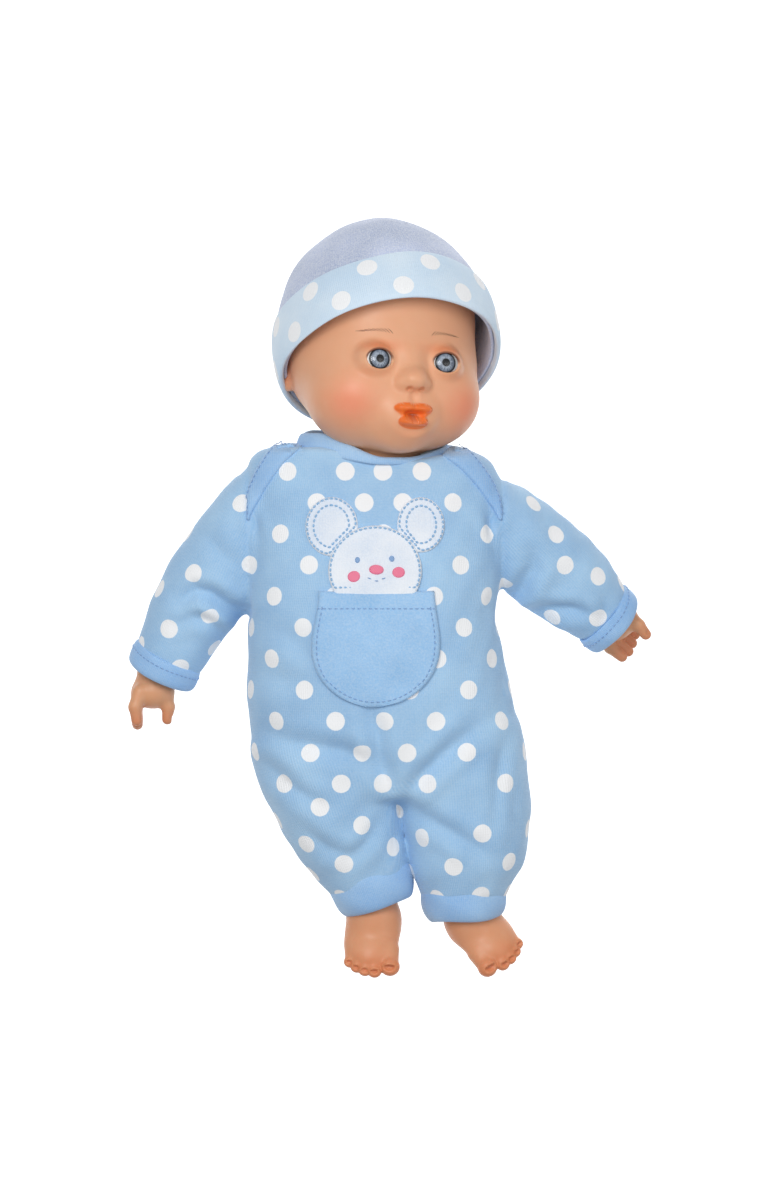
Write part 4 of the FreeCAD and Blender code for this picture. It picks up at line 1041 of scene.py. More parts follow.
# Each fold: its line in X and Z, depth, width, and whether it is on the front (-1) or the back (1).
FOLDS = [
    ([(-82, 149), (-76, 153.3), (-69.8, 151.7), (-63.8, 147.2), (-57, 144.6)], 3.0, 2.6, -1),
    ([(-84, 140), (-77, 143), (-70, 141), (-66, 137)], 1.4, 2.2, -1),
    ([(-72, 176), (-66, 168), (-60, 163)], 1.0, 3.0, -1),
    ([(47, 150.5), (52, 154), (56.5, 162), (57, 168)], 2.6, 2.8, -1),
    ([(57, 145.5), (65, 145.8), (72, 145.5), (80, 143.5)], 2.6, 2.4, -1),
    ([(84, 152), (86, 145), (83, 138)], 1.0, 2.4, -1),
    ([(60, 186), (64, 178), (63, 170)], 0.8, 3.0, -1),
    ([(0, 76), (-2.5, 84), (-5, 98), (-8, 108)], 2.8, 3.2, -1),
    ([(-49, 98), (-40, 94.5), (-31.5, 93), (-15, 90), (-4, 84)], 1.9, 3.2, -1),
    ([(-49, 86), (-37, 75.3), (-25, 69)], 1.5, 2.8, -1),
    ([(6, 72), (15, 83), (29, 95.3), (35.5, 101)], 2.4, 3.0, -1),
    ([(45, 95.3), (43.5, 80), (41.7, 64)], 1.3, 2.6, -1),
    ([(50, 78), (48.7, 62)], 0.9, 2.2, -1),
    ([(7.5, 68), (23, 59.5), (38.6, 50.2)], 1.8, 2.8, -1),
    ([(-34, 60), (-24, 52), (-14, 50)], 1.3, 2.6, -1),
    ([(-4, 62), (-9, 54), (-17, 47)], 1.0, 2.2, -1),
    ([(-53, 183.5), (-52.5, 175)], 1.5, 1.8, -1),
    ([(40, 184), (41, 175)], 2.0, 2.0, -1),
    ([(-50, 121), (-40, 118), (-30, 119.5)], 0.8, 3.6, -1),
    ([(38, 128), (44, 121), (46, 112)], 0.9, 3.2, -1),
    ([(-45, 138), (-36, 133), (-31, 126)], 0.8, 3.4, -1),
    ([(31, 150), (37, 146), (42, 148)], 0.7, 3.0, -1),
    ([(-48, 92), (-30, 88), (-12, 82), (-2, 77)], 2.4, 3.2, 1),
    ([(48, 90), (30, 87), (12, 82), (1, 77)], 2.2, 3.2, 1),
    ([(-78, 152), (-68, 148), (-60, 146)], 1.8, 2.8, 1),
    ([(58, 150), (66, 149), (76, 147)], 1.8, 2.8, 1),
    ([(-30, 150), (-18, 138), (-14, 124)], 1.2, 3.8, 1),
    ([(22, 152), (10, 140), (8, 126)], 1.2, 3.8, 1),
    ([(-30, 60), (-18, 56), (-6, 58)], 1.6, 2.8, 1),
    ([(14, 58), (26, 54), (40, 58)], 1.6, 2.8, 1),
]


def press_folds(p, normals):
    push = np.zeros(len(p))
    for path, depth, width, side in FOLDS:
        distance, along = path_distance(p, path)
        facing = smoothstep(-0.15, 0.35, normals[:, 1] * side)
        ends = np.sin(math.pi * np.clip(0.06 + 0.88 * along, 0, 1)) ** 0.7
        groove = -depth * np.exp(-(distance / width) ** 2)
        ridge = 0.42 * depth * np.exp(-((distance - 2.3 * width) / (1.1 * width)) ** 2)
        push += (groove + ridge) * facing * ends
    return push


def ripples(p):
    """Faint slow waves everywhere."""
    x, y, z = p.T
    wave = np.sin(0.21 * x + 0.13 * z + 1.0) * np.sin(0.17 * z - 0.09 * x + 0.4 * np.sin(0.11 * y))
    return 0.30 * wave + 0.16 * np.sin(0.43 * x - 0.31 * z + 0.29 * y)


def armhole_groove(p):
    out = np.zeros(len(p))
    for name, at in ARMHOLES.items():
        high = smoothstep(140, 147, p[:, 2]) * smoothstep(206, 198, p[:, 2])
        out += np.exp(-((p[:, 0] - at) / 1.15) ** 2) * high
    return out


p, normals = points_of(romper), normals_of(romper)
calm = 1 - smoothstep(0.0, 0.35, held_weights(p)) * (p[:, 2] > 190)
push = press_folds(p, normals) + 0.8 * ripples(p) * calm - 0.9 * armhole_groove(p)
p = p + normals * push[:, None]
put_points(romper, p)
print("deepest fold", push.min().round(2))

# %% [markdown]
# ## Dots
# The print is a half-drop repeat: rows about 12 mm apart, dots about 24 mm apart in a row, and each
# row set half a step along.  Each panel is cut from the same cloth, so each has its own lattice
# round its own line, and dots that would touch across a seam are left out.

# %% Dot centres
def lattice(frame, low, high, radius, distance, shift=0.0, row=12.2, along_row=24.4):
    """Points of the half-drop repeat where rays from a line leave the form."""
    count = max(3, round(2 * math.pi * radius / along_row))
    rays, starts = [], []
    for i, level in enumerate(np.arange(low, high, row)):
        for k in range(count):
            a = 2 * math.pi * (k + 0.5 * (i % 2) + shift) / count
            rays.append((math.sin(a), -math.cos(a), 0))
            starts.append((0, 0, level))
    rays, starts = np.array(rays) @ frame[0].T, out_of(frame, np.array(starts))
    t = np.full(len(rays), 2.0)
    for _ in range(60):
        t = np.clip(t - 0.8 * distance(starts + rays * t[:, None]), 0, 80)
    return starts + rays * t[:, None]


LEVEL = (np.eye(3), np.array([-4.0, -1.5, 0.0]))
found = [lattice(LEVEL, 78, 206, 44, romper_distance, 0.12)]
for name, table in {**SLEEVES, **TROUSERS}.items():
    radius, ends = (16, (2, 70)) if "arm" in name else (21, (14, 56))
    found.append(lattice(LIMBS[name], *ends, radius, romper_distance, 0.21, along_row=22.5))
kept = []
for centre in np.concatenate(found):
    if not kept or np.linalg.norm(np.array(kept) - centre, axis=1).min() > 12.0:
        kept.append(centre)
dots = np.array(kept)
tree = BVHTree.FromPolygons([Vector(v) for v in p], [list(f.vertices) for f in romper.data.polygons])
dots = np.array([tree.find_nearest(Vector(c))[0] for c in dots])
set_values(romper, "dot", dot_field(p, dots))
print("dots", len(dots))

# %% Cloth map of the romper
def which_panel(p):
    """0 trunk, 1 right sleeve, 2 left sleeve, 3 right leg, 4 left leg."""
    panel = np.zeros(len(p), int)
    high = p[:, 2] > 112
    panel[high & (p[:, 0] < ARMHOLES["right_arm"])] = 1
    panel[high & (p[:, 0] > ARMHOLES["left_arm"])] = 2
    right = (p - CROTCH) @ np.array([-0.44, 0, -0.898])
    left = (p - CROTCH) @ np.array([0.44, 0, -0.898])
    low = p[:, 2] < 112
    panel[low & (p[:, 0] < CROTCH[0]) & (right > 0)] = 3
    panel[low & (p[:, 0] >= CROTCH[0]) & (left > 0)] = 4
    return panel


PANELS = ["trunk", "right_arm", "left_arm", "right_leg", "left_leg"]


def map_cloth(thing):
    """Each panel is unrolled round its own line, in metres."""
    mesh, co = thing.data, points_of(thing)
    centres = np.array([co[list(f.vertices)].mean(0) for f in mesh.polygons])
    panels = which_panel(centres)
    layer = mesh.uv_layers.new(name="cloth")
    uv = np.zeros((len(mesh.loops), 2))
    corner = np.array([l.vertex_index for l in mesh.loops])
    starts = np.array([f.loop_start for f in mesh.polygons])
    for k, name in enumerate(PANELS):
        local = into(LIMBS[name] if k else LEVEL, co)
        turn = np.arctan2(local[:, 0], -local[:, 1])
        radius = (46, 15, 15, 21, 21)[k]
        for f in np.flatnonzero(panels == k):
            loops = np.arange(starts[f], starts[f] + mesh.polygons[f].loop_total)
            angle = turn[corner[loops]]
            if angle.max() - angle.min() > math.pi:
                angle = np.where(angle < 0, angle + 2 * math.pi, angle)
            uv[loops, 0] = angle * radius * MM
            uv[loops, 1] = local[corner[loops], 2] * MM
    layer.data.foreach_set("uv", uv.ravel())
    return panels


panels = map_cloth(romper)
romper.data.materials.append(dotted_knit)

# %% [markdown]
# ## Cutting the romper into panels
# The suit is cut at the armholes and at the groin.  Each sleeve and leg keeps the whole suit's
# shading at its cut edge, so no seam shows.

# %% Cutting the panels
whole_normals = normals_of(romper)


def cut_panel(thing, keep, name):
    """A copy with only some faces, with the whole suit's shading."""
    mesh = thing.data
    keep_faces = np.flatnonzero(keep)
    copy = bpy.data.objects.new(name, mesh.copy())
    bpy.context.scene.collection.objects.link(copy)
    work = bmesh.new()
    work.from_mesh(copy.data)
    work.faces.ensure_lookup_table()
    wanted = set(keep_faces.tolist())
    bmesh.ops.delete(work, geom=[f for i, f in enumerate(work.faces) if i not in wanted], context="FACES")
    work.to_mesh(copy.data)
    work.free()
    used = np.unique(np.array([v for i in keep_faces for v in mesh.polygons[i].vertices]))
    copy.data.normals_split_custom_set_from_vertices([tuple(n) for n in whole_normals[used]])
    return copy


romper_parts = {}
for k, name in enumerate(("romper_trunk", "romper_right_sleeve", "romper_left_sleeve", "romper_right_leg",
                          "romper_left_leg")):
    romper_parts[name] = cut_panel(romper, panels == k, name)
bpy.data.objects.remove(romper)
trunk = romper_parts["romper_trunk"]
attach(trunk, "torso")
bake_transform(romper_parts["romper_right_sleeve"])
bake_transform(romper_parts["romper_left_sleeve"])
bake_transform(romper_parts["romper_right_leg"])
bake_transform(romper_parts["romper_left_leg"])
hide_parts("romper_front", "romper_back", "cotton_body", "torso_filling")
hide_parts("right_sleeve", "right_stuffed_arm")
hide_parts("left_sleeve", "left_stuffed_arm")
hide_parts("right_trouser_leg", "right_stuffed_leg")
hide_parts("left_trouser_leg", "left_stuffed_leg")
print("romper panels", {name: len(part.data.polygons) for name, part in romper_parts.items()})

# %% [markdown]
# ## Trimmings laid on the cloth
# A pocket, a strap or a patch takes the shape of what it lies on.  Its outline is drawn flat as a
# grid of X and Z; each point is carried to the romper, the sheet of points is relaxed so that it
# bridges the small folds, and it is then given a thickness that rolls off at its edge.

# %% Laying a thin piece
def on_cloth(x, z, side=-1):
    """The point of the romper in front of (-1) or behind (1) x, z, and its outward direction."""
    hit = tree.ray_cast(Vector((x, 90 * side, z)), Vector((0, -side, 0)))
    if hit[0] is None:
        hit = tree.find_nearest(Vector((x, 16 * side, z)))
    return np.array(hit[0]), np.array(hit[1])


def laid(name, grid, thick, lift=0.1, soft=1.0, relax=3, side=-1):
    """A thin closed piece over the romper from a grid of (x, z), rows by columns."""
    grid = np.array(grid, float)
    n, m = grid.shape[:2]
    found = [on_cloth(x, z, side) for x, z in grid.reshape(-1, 2)]
    base = np.array([f[0] for f in found]).reshape(n, m, 3)
    out = np.array([f[1] for f in found]).reshape(n, m, 3)
    for _ in range(relax):
        for field in (base, out):
            inner = (field[:-2, 1:-1] + field[2:, 1:-1] + field[1:-1, :-2] + field[1:-1, 2:]) / 4
            field[1:-1, 1:-1] = inner
            field[0, 1:-1] = (field[0, :-2] + field[0, 2:]) / 2 * 0.5 + field[0, 1:-1] * 0.5
            field[-1, 1:-1] = (field[-1, :-2] + field[-1, 2:]) / 2 * 0.5 + field[-1, 1:-1] * 0.5
    out /= np.linalg.norm(out, axis=-1, keepdims=True)
    rim = np.concatenate([grid[0], grid[-1], grid[:, 0], grid[:, -1]])
    away = np.min(np.linalg.norm(grid[:, :, None] - rim[None, None], axis=-1), axis=-1)
    t = np.clip(away / soft, 0, 1)
    rise = lift + thick * (0.35 + 0.65 * np.sqrt(1 - (1 - t) ** 2))
    top = base + out * rise[..., None]
    under = base + out * (lift - 0.9)
    verts = np.concatenate([top.reshape(-1, 3), under.reshape(-1, 3)])
    faces, total = [], n * m
    for i in range(n - 1):
        for j in range(m - 1):
            a = i * m + j
            faces.append((a, a + 1, a + m + 1, a + m))
            faces.append((total + a + m, total + a + m + 1, total + a + 1, total + a))
    edge = [j for j in range(m - 1)] + [i * m + m - 1 for i in range(n - 1)]
    edge += [(n - 1) * m + j for j in range(m - 1, 0, -1)] + [i * m for i in range(n - 1, 0, -1)]
    for k, a in enumerate(edge):
        b = edge[(k + 1) % len(edge)]
        faces.append((a, total + a, total + b, b))
    thing = make_object(name, verts, faces)
    tidy = bmesh.new()
    tidy.from_mesh(thing.data)
    bmesh.ops.recalc_face_normals(tidy, faces=tidy.faces)
    tidy.to_mesh(thing.data)
    tidy.free()
    layer = thing.data.uv_layers.new(name="cloth")
    flat = np.concatenate([grid.reshape(-1, 2)] * 2) * MM
    for loop in thing.data.loops:
        layer.data[loop.index].uv = flat[loop.vertex_index]
    return thing


def round_grid(centre, radii, count=22):
    """A disc as a square grid squeezed into a circle, so that it has no pole."""
    t = np.linspace(-1, 1, count)
    u, v = np.meshgrid(t, t)
    x = u * np.sqrt(1 - v * v / 2)
    y = v * np.sqrt(1 - u * u / 2)
    return np.stack([centre[0] + radii[0] * x, centre[1] + radii[1] * y], -1)


def strip_grid(middle, widths, across=9, along=40):
    """A strip about a line of (x, z), with a width at each point of the line."""
    line = np.array(rounded(middle, closed=False, each=12) + [middle[-1]])
    length = np.concatenate([[0], np.cumsum(np.linalg.norm(np.diff(line, axis=0), axis=1))])
    s = np.linspace(0, length[-1], along)
    line = np.stack([np.interp(s, length, line[:, k]) for k in (0, 1)], -1)
    wide = np.interp(np.linspace(0, 1, along), np.linspace(0, 1, len(widths)), widths)
    ahead = np.gradient(line, axis=0)
    side = np.stack([-ahead[:, 1], ahead[:, 0]], -1)
    side /= np.linalg.norm(side, axis=1, keepdims=True)
    t = np.linspace(-0.5, 0.5, across)
    return line[:, None] + side[:, None] * wide[:, None, None] * t[None, :, None]


STITCHES = {}


def stitch(body, thread, points):
    """Keeps a line of stitches for later: points in millimetres, already on the cloth."""
    STITCHES.setdefault((body, thread), []).append(np.array(points))


def cloth_line(points, lift, side=-1):
    """A flat line of (x, z) carried to the cloth and lifted a little."""
    return [place + out * lift for place, out in (on_cloth(x, z, side) for x, z in points)]


# %% [markdown]
# ## Neck binding and shoulder laps
# The suit has an envelope neck: the back's bound edge laps over the front's at each shoulder, and
# runs down to the armhole, so the neck stretches wide enough for the head.

# %% Neck band
def neck_band():
    verts, faces, segments = [], [], 120
    for i in range(segments):
        a = 2 * math.pi * i / segments
        x, y = -6.4 + 29.0 * math.sin(a), -0.5 - 25.4 * math.cos(a)
        high = 2.0 + 4.4 * max(smoothstep(3, 34, abs(x - 3)) * (1 if x < 3 else 0.8), smoothstep(-10, 10, y))
        level = float(neckline(x, y)) - 0.7
        tilt = 0.6 * smoothstep(0, 30, abs(x + 6)) * (1 if x < -6 else 0.4)
        for o, h in rounded([(0.4, -0.5), (1.3, 0.1), (1.5, 0.5), (1.0, 0.9), (0.0, 1.0), (-0.9, 0.9),
                             (-1.2, 0.4), (-0.8, -0.3)],
                            each=2):
            o = o - 0.22 * h * high
            verts.append((x + o * math.sin(a), y - o * math.cos(a), level + h * high + tilt))
    count = len(verts) // segments
    for i in range(segments):
        for k in range(count):
            a, b = i * count + k, i * count + (k + 1) % count
            c, d = ((i + 1) % segments) * count + (k + 1) % count, ((i + 1) % segments) * count + k
            faces.append((a, d, c, b))
    band = make_object("neck_binding_rib", verts, faces)
    layer = band.data.uv_layers.new(name="cloth")
    for polygon in band.data.polygons:
        columns = [band.data.loops[l].vertex_index // count for l in polygon.loop_indices]
        for loop, column in zip(polygon.loop_indices, columns):
            row = band.data.loops[loop].vertex_index % count
            column = column + segments if max(columns) - column > segments / 2 else column
            layer.data[loop].uv = (column / segments * 0.17, row * 0.0008)
    return band


band_object = neck_band()
LAPS = {
    "right": ([(-36.5, 212.5), (-43.4, 206.5), (-49.6, 197.5), (-53.6, 188.5), (-55.6, 181.0)],
              [8.2, 7.6, 7.0, 5.2, 0.8]),
    "left": ([(23.5, 209.5), (31.0, 203.4), (37.2, 195.8), (41.2, 188.6), (43.9, 181.0)],
             [8.2, 7.6, 6.8, 5.0, 0.8]),
}
laps = []
for name, (middle, widths) in LAPS.items():
    strap = laid(f"{name}_lap_binding", strip_grid(middle, widths), 1.3, 0.35, 2.2)
    strap.data.materials.append(plain_rib)
    laps.append(strap)
    side = 1 if name == "right" else -1
    grid = strip_grid(middle, [w * 0.62 for w in widths], across=3)
    edge = grid[4:-3, 0 if side > 0 else 2]
    stitch("torso", "blue_thread", cloth_line(edge, 1.75))
band_object.data.materials.append(plain_rib)
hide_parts("front_neck_binding", "back_neck_binding")
for thing in [band_object, *laps]:
    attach(thing, "torso")
print("neck binding and laps")

# %% [markdown]
# ## Cuffs
# Each cuff is a folded band of rib.  At the wrist it is turned back and top-stitched; at the ankle
# it hugs the leg and the trouser balloons over it.

# %% Cuff bands
CUFFS = {
    "right_wrist": (LIMBS["right_arm"][0], out_of(LIMBS["right_arm"], np.array([0.4, 0, 63.0])),
                    "right_arm", 13.9,
                    [(-1.6, 0.6), (-0.5, -0.3), (0.3, 0.2), (0.7, 2.2), (0.75, 5.0), (0.5, 7.2),
                     (-0.3, 8.6), (-1.6, 8.9),
                     (-2.4, 7.8), (-2.2, 4.0)]),
    "left_wrist": (limb_frame((0, 0, 0), (0.785, 0.27, -0.56), (0.58, 0, 0.8))[0],
                   np.array([84.0, 17.0, 144.4]), "left_arm", 13.8,
                   [(-1.6, 0.6), (-0.5, -0.3), (0.3, 0.2), (0.7, 2.2), (0.75, 4.6), (0.4, 6.6), (-0.4, 7.8),
                    (-1.6, 8.1),
                    (-2.4, 7.0), (-2.2, 3.6)]),
    "right_ankle": (LIMBS["right_leg"][0], out_of(LIMBS["right_leg"], np.array([-3.1, 0, 45.0])),
                    "right_leg", 16.4,
                    [(-1.8, 0.8), (-0.6, -0.4), (0.3, 0.6), (0.5, 4.0), (0.1, 8.0), (-0.9, 11.6),
                     (-2.4, 14.0), (-4.0, 14.6),
                     (-4.8, 13.2), (-3.6, 9.0), (-2.6, 4.0)]),
    "left_ankle": (limb_frame((27, 0, 84), (31.5, 0, 27.5), (1, 0, 0.1))[0] @ turned("Y", 0.0),
                   out_of(LIMBS["left_leg"], np.array([-1.6, 0, 47.0])), "left_leg", 16.6,
                   [(-1.8, 0.8), (-0.6, -0.4), (0.3, 0.6), (0.5, 4.0), (0.2, 7.6), (-0.7, 10.6),
                    (-2.2, 12.8), (-3.8, 13.4),
                    (-4.6, 12.0), (-3.4, 8.0), (-2.6, 4.0)]),
}


def cuff_waves(angle, point):
    return (0.22 * math.sin(2 * angle + 0.7) + 0.16 * math.sin(5 * angle + 0.5 * point[1]),
            0.45 * math.sin(2 * angle + 2.1) + 0.25 * math.sin(3 * angle))


for name, (rotation, origin, body, radius, section) in CUFFS.items():
    profile = rounded([(radius + o, h) for o, h in section], each=3)
    verts, faces = spun((rotation, origin), profile, 96, cuff_waves)
    cuff = make_object(f"{name}_cuff_rib", verts, faces)
    spun_map(cuff, (rotation, origin), profile, 96, radius)
    cuff.data.materials.append(plain_rib)
    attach(cuff, body)
    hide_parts(f"{name}_cuff")
    if "wrist" in name:
        ring = []
        for i in range(121):
            a = 2 * math.pi * i / 120
            dr, dz = cuff_waves(a, (radius, 2.6))
            ring.append(((radius + 0.85 + dr) * math.sin(a), -(radius + 0.85 + dr) * math.cos(a), 2.6 + dz))
        stitch(body, "blue_thread", out_of((rotation, origin), np.array(ring)))
print("cuffs", len(CUFFS))

# %% [markdown]
# ## Pocket and animal patch
# A round-bottomed patch pocket of woven cloth is sewn to the belly, and a fleece animal looks out of
# it.  The animal is a plain round-eared cub of my own: two ears, a head, two stitched eyes, an oval
# nose and rosy cheeks.

# %% Pocket
def pocket_half(z):
    """Half the pocket's width at a level."""
    if z > 131:
        return 22.3 + 2.4 * smoothstep(152.5, 133, z)
    return 24.7 * math.sqrt(max(0.0, 1 - ((131 - z) / 22.8) ** 2))


def pocket_middle(z):
    return -4.9 - 0.6 * smoothstep(150, 110, z)


levels = np.concatenate([np.linspace(152.6, 131, 24), 131 - 22.75 * np.sin(np.linspace(0.05, 1.50, 26))])
grid = [[(pocket_middle(z) + u * max(pocket_half(z), 2.2),
          z + 0.5 * u * u * smoothstep(140, 152, z)) for u in np.linspace(-1, 1, 41)]
        for z in levels]
pocket = laid("chest_pocket_cloth", grid, 1.15, 0.9, 1.1, relax=8)
pocket.data.materials.append(woven_blue)
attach(pocket, "torso")
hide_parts("chest_pocket")
pocket_tree = BVHTree.FromPolygons([Vector(v) for v in points_of(pocket)],
                                   [list(f.vertices) for f in pocket.data.polygons])


def pocket_line(points, lift=0.12):
    out = []
    for x, z in points:
        hit = pocket_tree.ray_cast(Vector((x, -90, z)), Vector((0, 1, 0)))
        if hit[0] is not None:
            out.append(np.array(hit[0]) + np.array(hit[1]) * lift)
    return out


inset = 1.7
outline = [(pocket_middle(z) - (pocket_half(z) - inset), z) for z in np.linspace(146.4, 115, 40)]
bottom = [(-5.4 + (24.7 - inset) * math.sin(a),
           131 - (22.8 - inset) * math.cos(a)) for a in np.linspace(-0.9, 0.9, 40)]
right_side = [(pocket_middle(z) + pocket_half(z) - inset, z) for z in np.linspace(115, 146.4, 40)]
stitch("torso", "blue_thread",
       pocket_line([p for p in outline if p[1] > 118] + bottom + [p for p in right_side if p[1] > 118]))
stitch("torso", "blue_thread", pocket_line([(pocket_middle(146) + u * 22.4, 146.3) for u in np.linspace(-1,
                                        1, 60)]))
print("pocket", len(pocket.data.polygons))

# %% Animal patch
EARS = (((-22.3, 178.3), (10.2, 11.6)), ((12.4, 179.0), (9.2, 10.8)))
HEAD_PATCH = ((-5.4, 161.0), (18.0, 17.6))
patch_parts = []
for i, (centre, radii) in enumerate(EARS):
    patch_parts.append(laid(f"patch_ear_{i + 1}", round_grid(centre, radii), 0.85, 0.25, 1.2))
face_patch = laid("patch_face", round_grid(*HEAD_PATCH, count=34), 0.9, 1.0, 1.2)
patch_parts.append(face_patch)
for thing in patch_parts:
    thing.data.materials.append(white_fleece)
    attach(thing, "torso")
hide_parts("applique_ears")
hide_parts("applique_face")


def ring_line(centre, radii, inset, start=0.0, end=2 * math.pi, count=90):
    return [(centre[0] + (radii[0] - inset) * math.sin(a), centre[1] + (radii[1] - inset) * math.cos(a))
            for a in np.linspace(start, end, count)]


for centre, radii in EARS:
    away = [p for p in ring_line(centre, radii, 0.8) if math.hypot(p[0] + 5.4, p[1] - 161.0) > 18.8]
    stitch("torso", "pale_thread", cloth_line(away, 1.25))
    inner = [p for p in ring_line(centre, radii, 3.4) if math.hypot(p[0] + 5.4, p[1] - 161.0) > 19.6]
    stitch("torso", "pale_thread", cloth_line(inner, 1.3))
over = [p for p in ring_line(*HEAD_PATCH, 0.9) if p[1] > 153.5]
stitch("torso", "pale_thread", cloth_line(over, 2.05))


def small_patch(name, centre, radii, thick, lift, thread):
    thing = laid(name, round_grid(centre, radii, 10), thick, lift, 0.5, relax=2)
    thing.data.materials.append(thread)
    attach(thing, "torso")
    return thing


small_patch("patch_nose", (-4.9, 161.2), (2.7, 1.9), 0.5, 1.9, pink_thread)
small_patch("patch_cheek_1", (-13.6, 158.6), (2.5, 2.2), 0.4, 1.85, pink_thread)
small_patch("patch_cheek_2", (3.6, 160.2), (2.5, 2.2), 0.4, 1.85, pink_thread)
for x, z in ((-12.3, 165.0), (0.9, 165.6)):
    small_patch(f"patch_eye_{'l' if x > -5 else 'r'}", (x, z), (1.0, 1.2), 0.4, 1.9, blue_thread)
smile = [(-4.9 + 3.0 * math.sin(a), 158.6 - 1.7 * math.cos(a)) for a in np.linspace(-1.1, 1.1, 16)]
stitch("torso", "blue_thread", cloth_line(smile, 2.1))
print("patch made")

# %% [markdown]
# ## Back opening
# A flat strip of hook tape closes the back, with a row of stitches down each side.

# %% Back strip
strip = [[(-3.5 + u * 7.4, z) for u in np.linspace(-1, 1, 13)] for z in np.linspace(186, 112, 60)]
placket = laid("back_placket_tape", strip, 1.5, 0.3, 1.0, relax=12, side=1)
placket.data.materials.append(hook_tape)
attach(placket, "torso")
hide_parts("placket_hooks", "placket_loops")
for x in (-9.6, 2.6):
    stitch("torso", "blue_thread", cloth_line([(x, z) for z in np.linspace(184.5, 113.5, 60)], 2.15, side=1))

# %% [markdown]
# ## Hands and feet
# The hands and feet are small solid vinyl castings.  Each is a palm or an instep with its fingers or
# toes melted in by a soft minimum, and a net is drawn over it.

# %% Hand form
along = np.array([39.5, 15.0, -39.0]) / np.linalg.norm([39.5, 15.0, -39.0])
turn_axis = np.cross([0, 0, 1], along)
swing = np.array(Matrix.Rotation(math.acos(along[2]), 3, Vector(turn_axis).normalized()))
HANDS = {
    "right": (turned("X", 180.0), np.array([-92.8, 13.0, 117.5]), 1),
    "left": (swing @ turned("Z", 90.0), np.array([88.0, 18.0, 144.0]), -1),
}


def hand_distance(p, thumb_side):
    q = p * [thumb_side, 1, 1]
    palm = soft_min(egg(q, (-0.6, 0, 4.2), (8.4, 8.6, 6.6)), bone(q, (0, 0, -12), (0, 0, 1), 6.7, 6.9), 3)
    fingers = None
    for i in range(4):
        y = (i - 1.5) * 4.15
        tip = 17.2 - abs(i - 1.2) * 1.0
        root = bone(q, (-5.6, y * 0.92, 4.0), (-7.4, y, 10.0), 2.9, 2.55)
        end = bone(q, (-7.4, y, 10.0), (-6.7, y * 0.97, tip), 2.55, 2.15)
        finger = soft_min(root, end, 1.0)
        fingers = finger if fingers is None else soft_min(fingers, finger, 0.55)
    thumb = soft_min(bone(q, (3.6, 1.8, 4.0), (5.6, 1.6, 10.0), 3.3, 2.5),
                     bone(q, (5.6, 1.6, 10.0), (5.2, 1.2, 14.9), 2.5, 2.15), 1.0)
    nail = egg(q, (7.6, 1.2, 15.0), (0.9, 1.4, 1.7))
    thumb = soft_max(thumb, -nail, 0.4)
    return soft_min(soft_min(palm, fingers, 1.6), thumb, 2.2)


def skin_paint(thing, p, base, warm, mask):
    paint = np.tile(srgb(*base), (len(p), 1))
    paint = paint_over(paint, mask, srgb(*warm))
    set_values(thing, "paint", np.column_stack([paint, np.ones(len(p))]), "FLOAT_COLOR")
    set_values(thing, "wet", np.zeros(len(p)))
    thing.data.materials.append(skin_vinyl)


for name, (rotation, origin, thumb_side) in HANDS.items():
    distance = lambda p: hand_distance(p, thumb_side)
    local, faces = net_over(distance, (-13, -13, -14), (13, 13, 20), 0.55)
    hand = make_object(f"{name}_hand_cast", out_of((rotation, origin), local), faces)
    skin_paint(hand, local, (226, 164, 122), (206, 112, 70), 0.5 * smoothstep(8, 16, local[:, 2]))
    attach(hand, f"{name}_hand")
    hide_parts(f"{name}_hand")
    print(name, "hand", len(faces))

# %% Foot form
FEET = {"right": (np.array([-6.5, 0, 27.5]), -1, turned("Z", -4.0) @ turned("X", 50.0)),
        "left": (np.array([31.5, 0, 27.5]), 1, turned("Z", 22.0) @ turned("Y", -28.0) @ turned("X", 46.0))}
TOES = ((-7.6, -22.9, -6.2, 3.9), (-1.6, -24.8, -6.6, 2.8), (2.2, -24.2, -6.6, 2.65),
        (5.5, -22.8, -6.5, 2.5), (8.3, -20.6, -6.2, 2.4))


def foot_distance(p, leg, side):
    """p is in the foot's frame: toes along -Y, sole down -Z, turned down at the ankle."""
    q = p * [side, 1, 1]
    d = soft_min(egg(q, (0.2, -11.0, -5.4), (10.8, 13.6, 6.6)), egg(q, (0, -4.6, -6.4), (8.8, 8.8, 8.0)), 4)
    d = soft_min(d, leg, 4)
    d = soft_max(d, -egg(q, (-10.5, -10.0, -12.5), (4.5, 8.0, 3.5)), 4)
    toes = None
    for x, reach, z, r in TOES:
        toe = soft_min(bone(q, (x * 0.93, reach + 7, z + 0.6), (x, reach, z), r, r * 0.86),
                       egg(q, (x, reach - 0.2, z), (r, r * 0.95, r)), 0.6)
        nail = egg(q, (x, reach - r * 0.75, z + r * 0.55), (r * 0.62, r * 0.55, r * 0.30))
        toe = soft_max(toe, -nail, 0.3)
        toes = toe if toes is None else soft_min(toes, toe, 0.45)
    return soft_min(d, toes, 1.4)


for name, (ankle, side, rotation) in FEET.items():
    shin = LIMBS[f"{name}_leg"]
    shin_long = np.linalg.norm(ankle - shin[1])

    def distance(p):
        world = out_of((rotation, ankle), p)
        rod_local = into(shin, world)
        leg = bone(rod_local, (0, 0, shin_long - 14), (0, 0, shin_long + 3), 10.2, 10.4)
        return foot_distance(p, leg, side)

    local, faces = net_over(distance, (-18, -31, -20), (18, 16, 24), 0.6)
    world = out_of((rotation, ankle), local)
    foot = make_object(f"{name}_foot_cast", world, faces)
    toes = smoothstep(-17, -25, local[:, 1])
    skin_paint(foot, local, (228, 158, 116), (222, 118, 62), 0.5 * toes)
    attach(foot, f"{name}_foot")
    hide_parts(f"{name}_foot")
    print(name, "foot", len(faces), world.min(0).round(1), world.max(0).round(1))

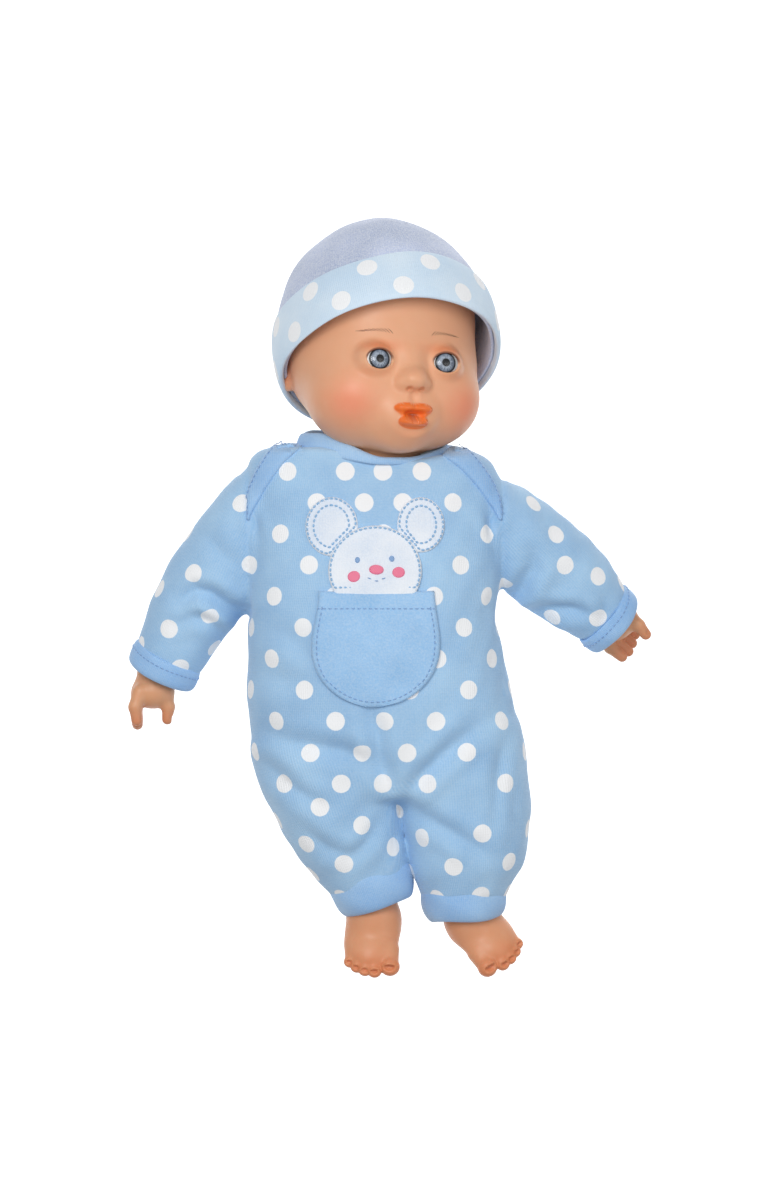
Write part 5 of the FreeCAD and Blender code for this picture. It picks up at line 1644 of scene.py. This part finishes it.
# %% [markdown]
# ## Stitches
# Every visible seam is a row of short stitches.  One small set of nodes makes them all: it takes
# lines, sets points a stitch apart along them, and puts a slim bead of thread at each, turned along
# the line.  The lines are gathered for each body so that each row moves with its own panel.

# %% Stitch nodes
def stitch_nodes():
    group = bpy.data.node_groups.new("stitch_row", "GeometryNodeTree")
    face = group.interface
    face.new_socket("Geometry", in_out="INPUT", socket_type="NodeSocketGeometry")
    for name, value in (("Step", 0.0021), ("Length", 0.0014), ("Thickness", 0.00030)):
        face.new_socket(name, in_out="INPUT", socket_type="NodeSocketFloat").default_value = value
    face.new_socket("Thread", in_out="INPUT", socket_type="NodeSocketMaterial")
    face.new_socket("Geometry", in_out="OUTPUT", socket_type="NodeSocketGeometry")
    nodes, links = group.nodes, group.links
    start, end = nodes.new("NodeGroupInput"), nodes.new("NodeGroupOutput")
    curve = nodes.new("GeometryNodeMeshToCurve")
    spaced = nodes.new("GeometryNodeResampleCurve")
    if "Mode" in spaced.inputs:
        spaced.inputs["Mode"].default_value = "Length"
    else:
        spaced.mode = "LENGTH"
    tangent = nodes.new("GeometryNodeInputTangent")
    align = nodes.new("FunctionNodeAlignRotationToVector")
    align.axis = "Z"
    bead = nodes.new("GeometryNodeMeshUVSphere")
    bead.inputs["Segments"].default_value, bead.inputs["Rings"].default_value = 7, 6
    bead.inputs["Radius"].default_value = 0.5
    size = nodes.new("ShaderNodeCombineXYZ")
    place = nodes.new("GeometryNodeInstanceOnPoints")
    real = nodes.new("GeometryNodeRealizeInstances")
    smooth = nodes.new("GeometryNodeSetShadeSmooth")
    thread = nodes.new("GeometryNodeSetMaterial")
    double = nodes.new("ShaderNodeMath")
    double.operation = "MULTIPLY"
    double.inputs[1].default_value = 2.0
    links.new(start.outputs["Geometry"], curve.inputs[0])
    links.new(curve.outputs[0], spaced.inputs["Curve"])
    links.new(start.outputs["Step"], spaced.inputs["Length"])
    links.new(spaced.outputs[0], place.inputs["Points"])
    links.new(tangent.outputs[0], align.inputs["Vector"])
    links.new(align.outputs[0], place.inputs["Rotation"])
    links.new(bead.outputs["Mesh"], place.inputs["Instance"])
    links.new(start.outputs["Thickness"], double.inputs[0])
    links.new(double.outputs[0], size.inputs["X"])
    links.new(double.outputs[0], size.inputs["Y"])
    links.new(start.outputs["Length"], size.inputs["Z"])
    links.new(size.outputs[0], place.inputs["Scale"])
    links.new(place.outputs[0], real.inputs[0])
    links.new(real.outputs[0], smooth.inputs[0])
    links.new(smooth.outputs[0], thread.inputs["Geometry"])
    links.new(start.outputs["Thread"], thread.inputs["Material"])
    links.new(thread.outputs[0], end.inputs[0])
    return group


# %% Sewing the rows
THREADS = {"blue_thread": blue_thread, "pale_thread": pale_thread}
sewing = stitch_nodes()
sockets = {s.name: s.identifier for s in sewing.interface.items_tree if s.in_out == "INPUT"}
for (body, thread), lines in STITCHES.items():
    verts, edges = [], []
    for line in lines:
        edges += [(len(verts) + i, len(verts) + i + 1) for i in range(len(line) - 1)]
        verts += (np.array(line) * MM).tolist()
    mesh = bpy.data.meshes.new("rows")
    mesh.from_pydata(verts, edges, [])
    rows = bpy.data.objects.new(f"{body}_{thread}_rows", mesh)
    bpy.context.scene.collection.objects.link(rows)
    modifier = rows.modifiers.new("sew", "NODES")
    modifier.node_group = sewing
    pale = thread == "pale_thread"
    modifier[sockets["Step"]] = 0.0019 if pale else 0.0022
    modifier[sockets["Length"]] = 0.0014 if pale else 0.0015
    modifier[sockets["Thickness"]] = 0.00042 if pale else 0.00024
    modifier[sockets["Thread"]] = THREADS[thread]
    bake(rows)
    if not rows.data.materials:
        rows.data.materials.append(THREADS[thread])
    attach(rows, body)
    print(body, thread, len(rows.data.polygons))

# %% [markdown]
# ## Size
# The box of what is seen is printed.

# %% Size
low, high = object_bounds()
print("seen box", [round(v, 4) for v in low], [round(v, 4) for v in high])
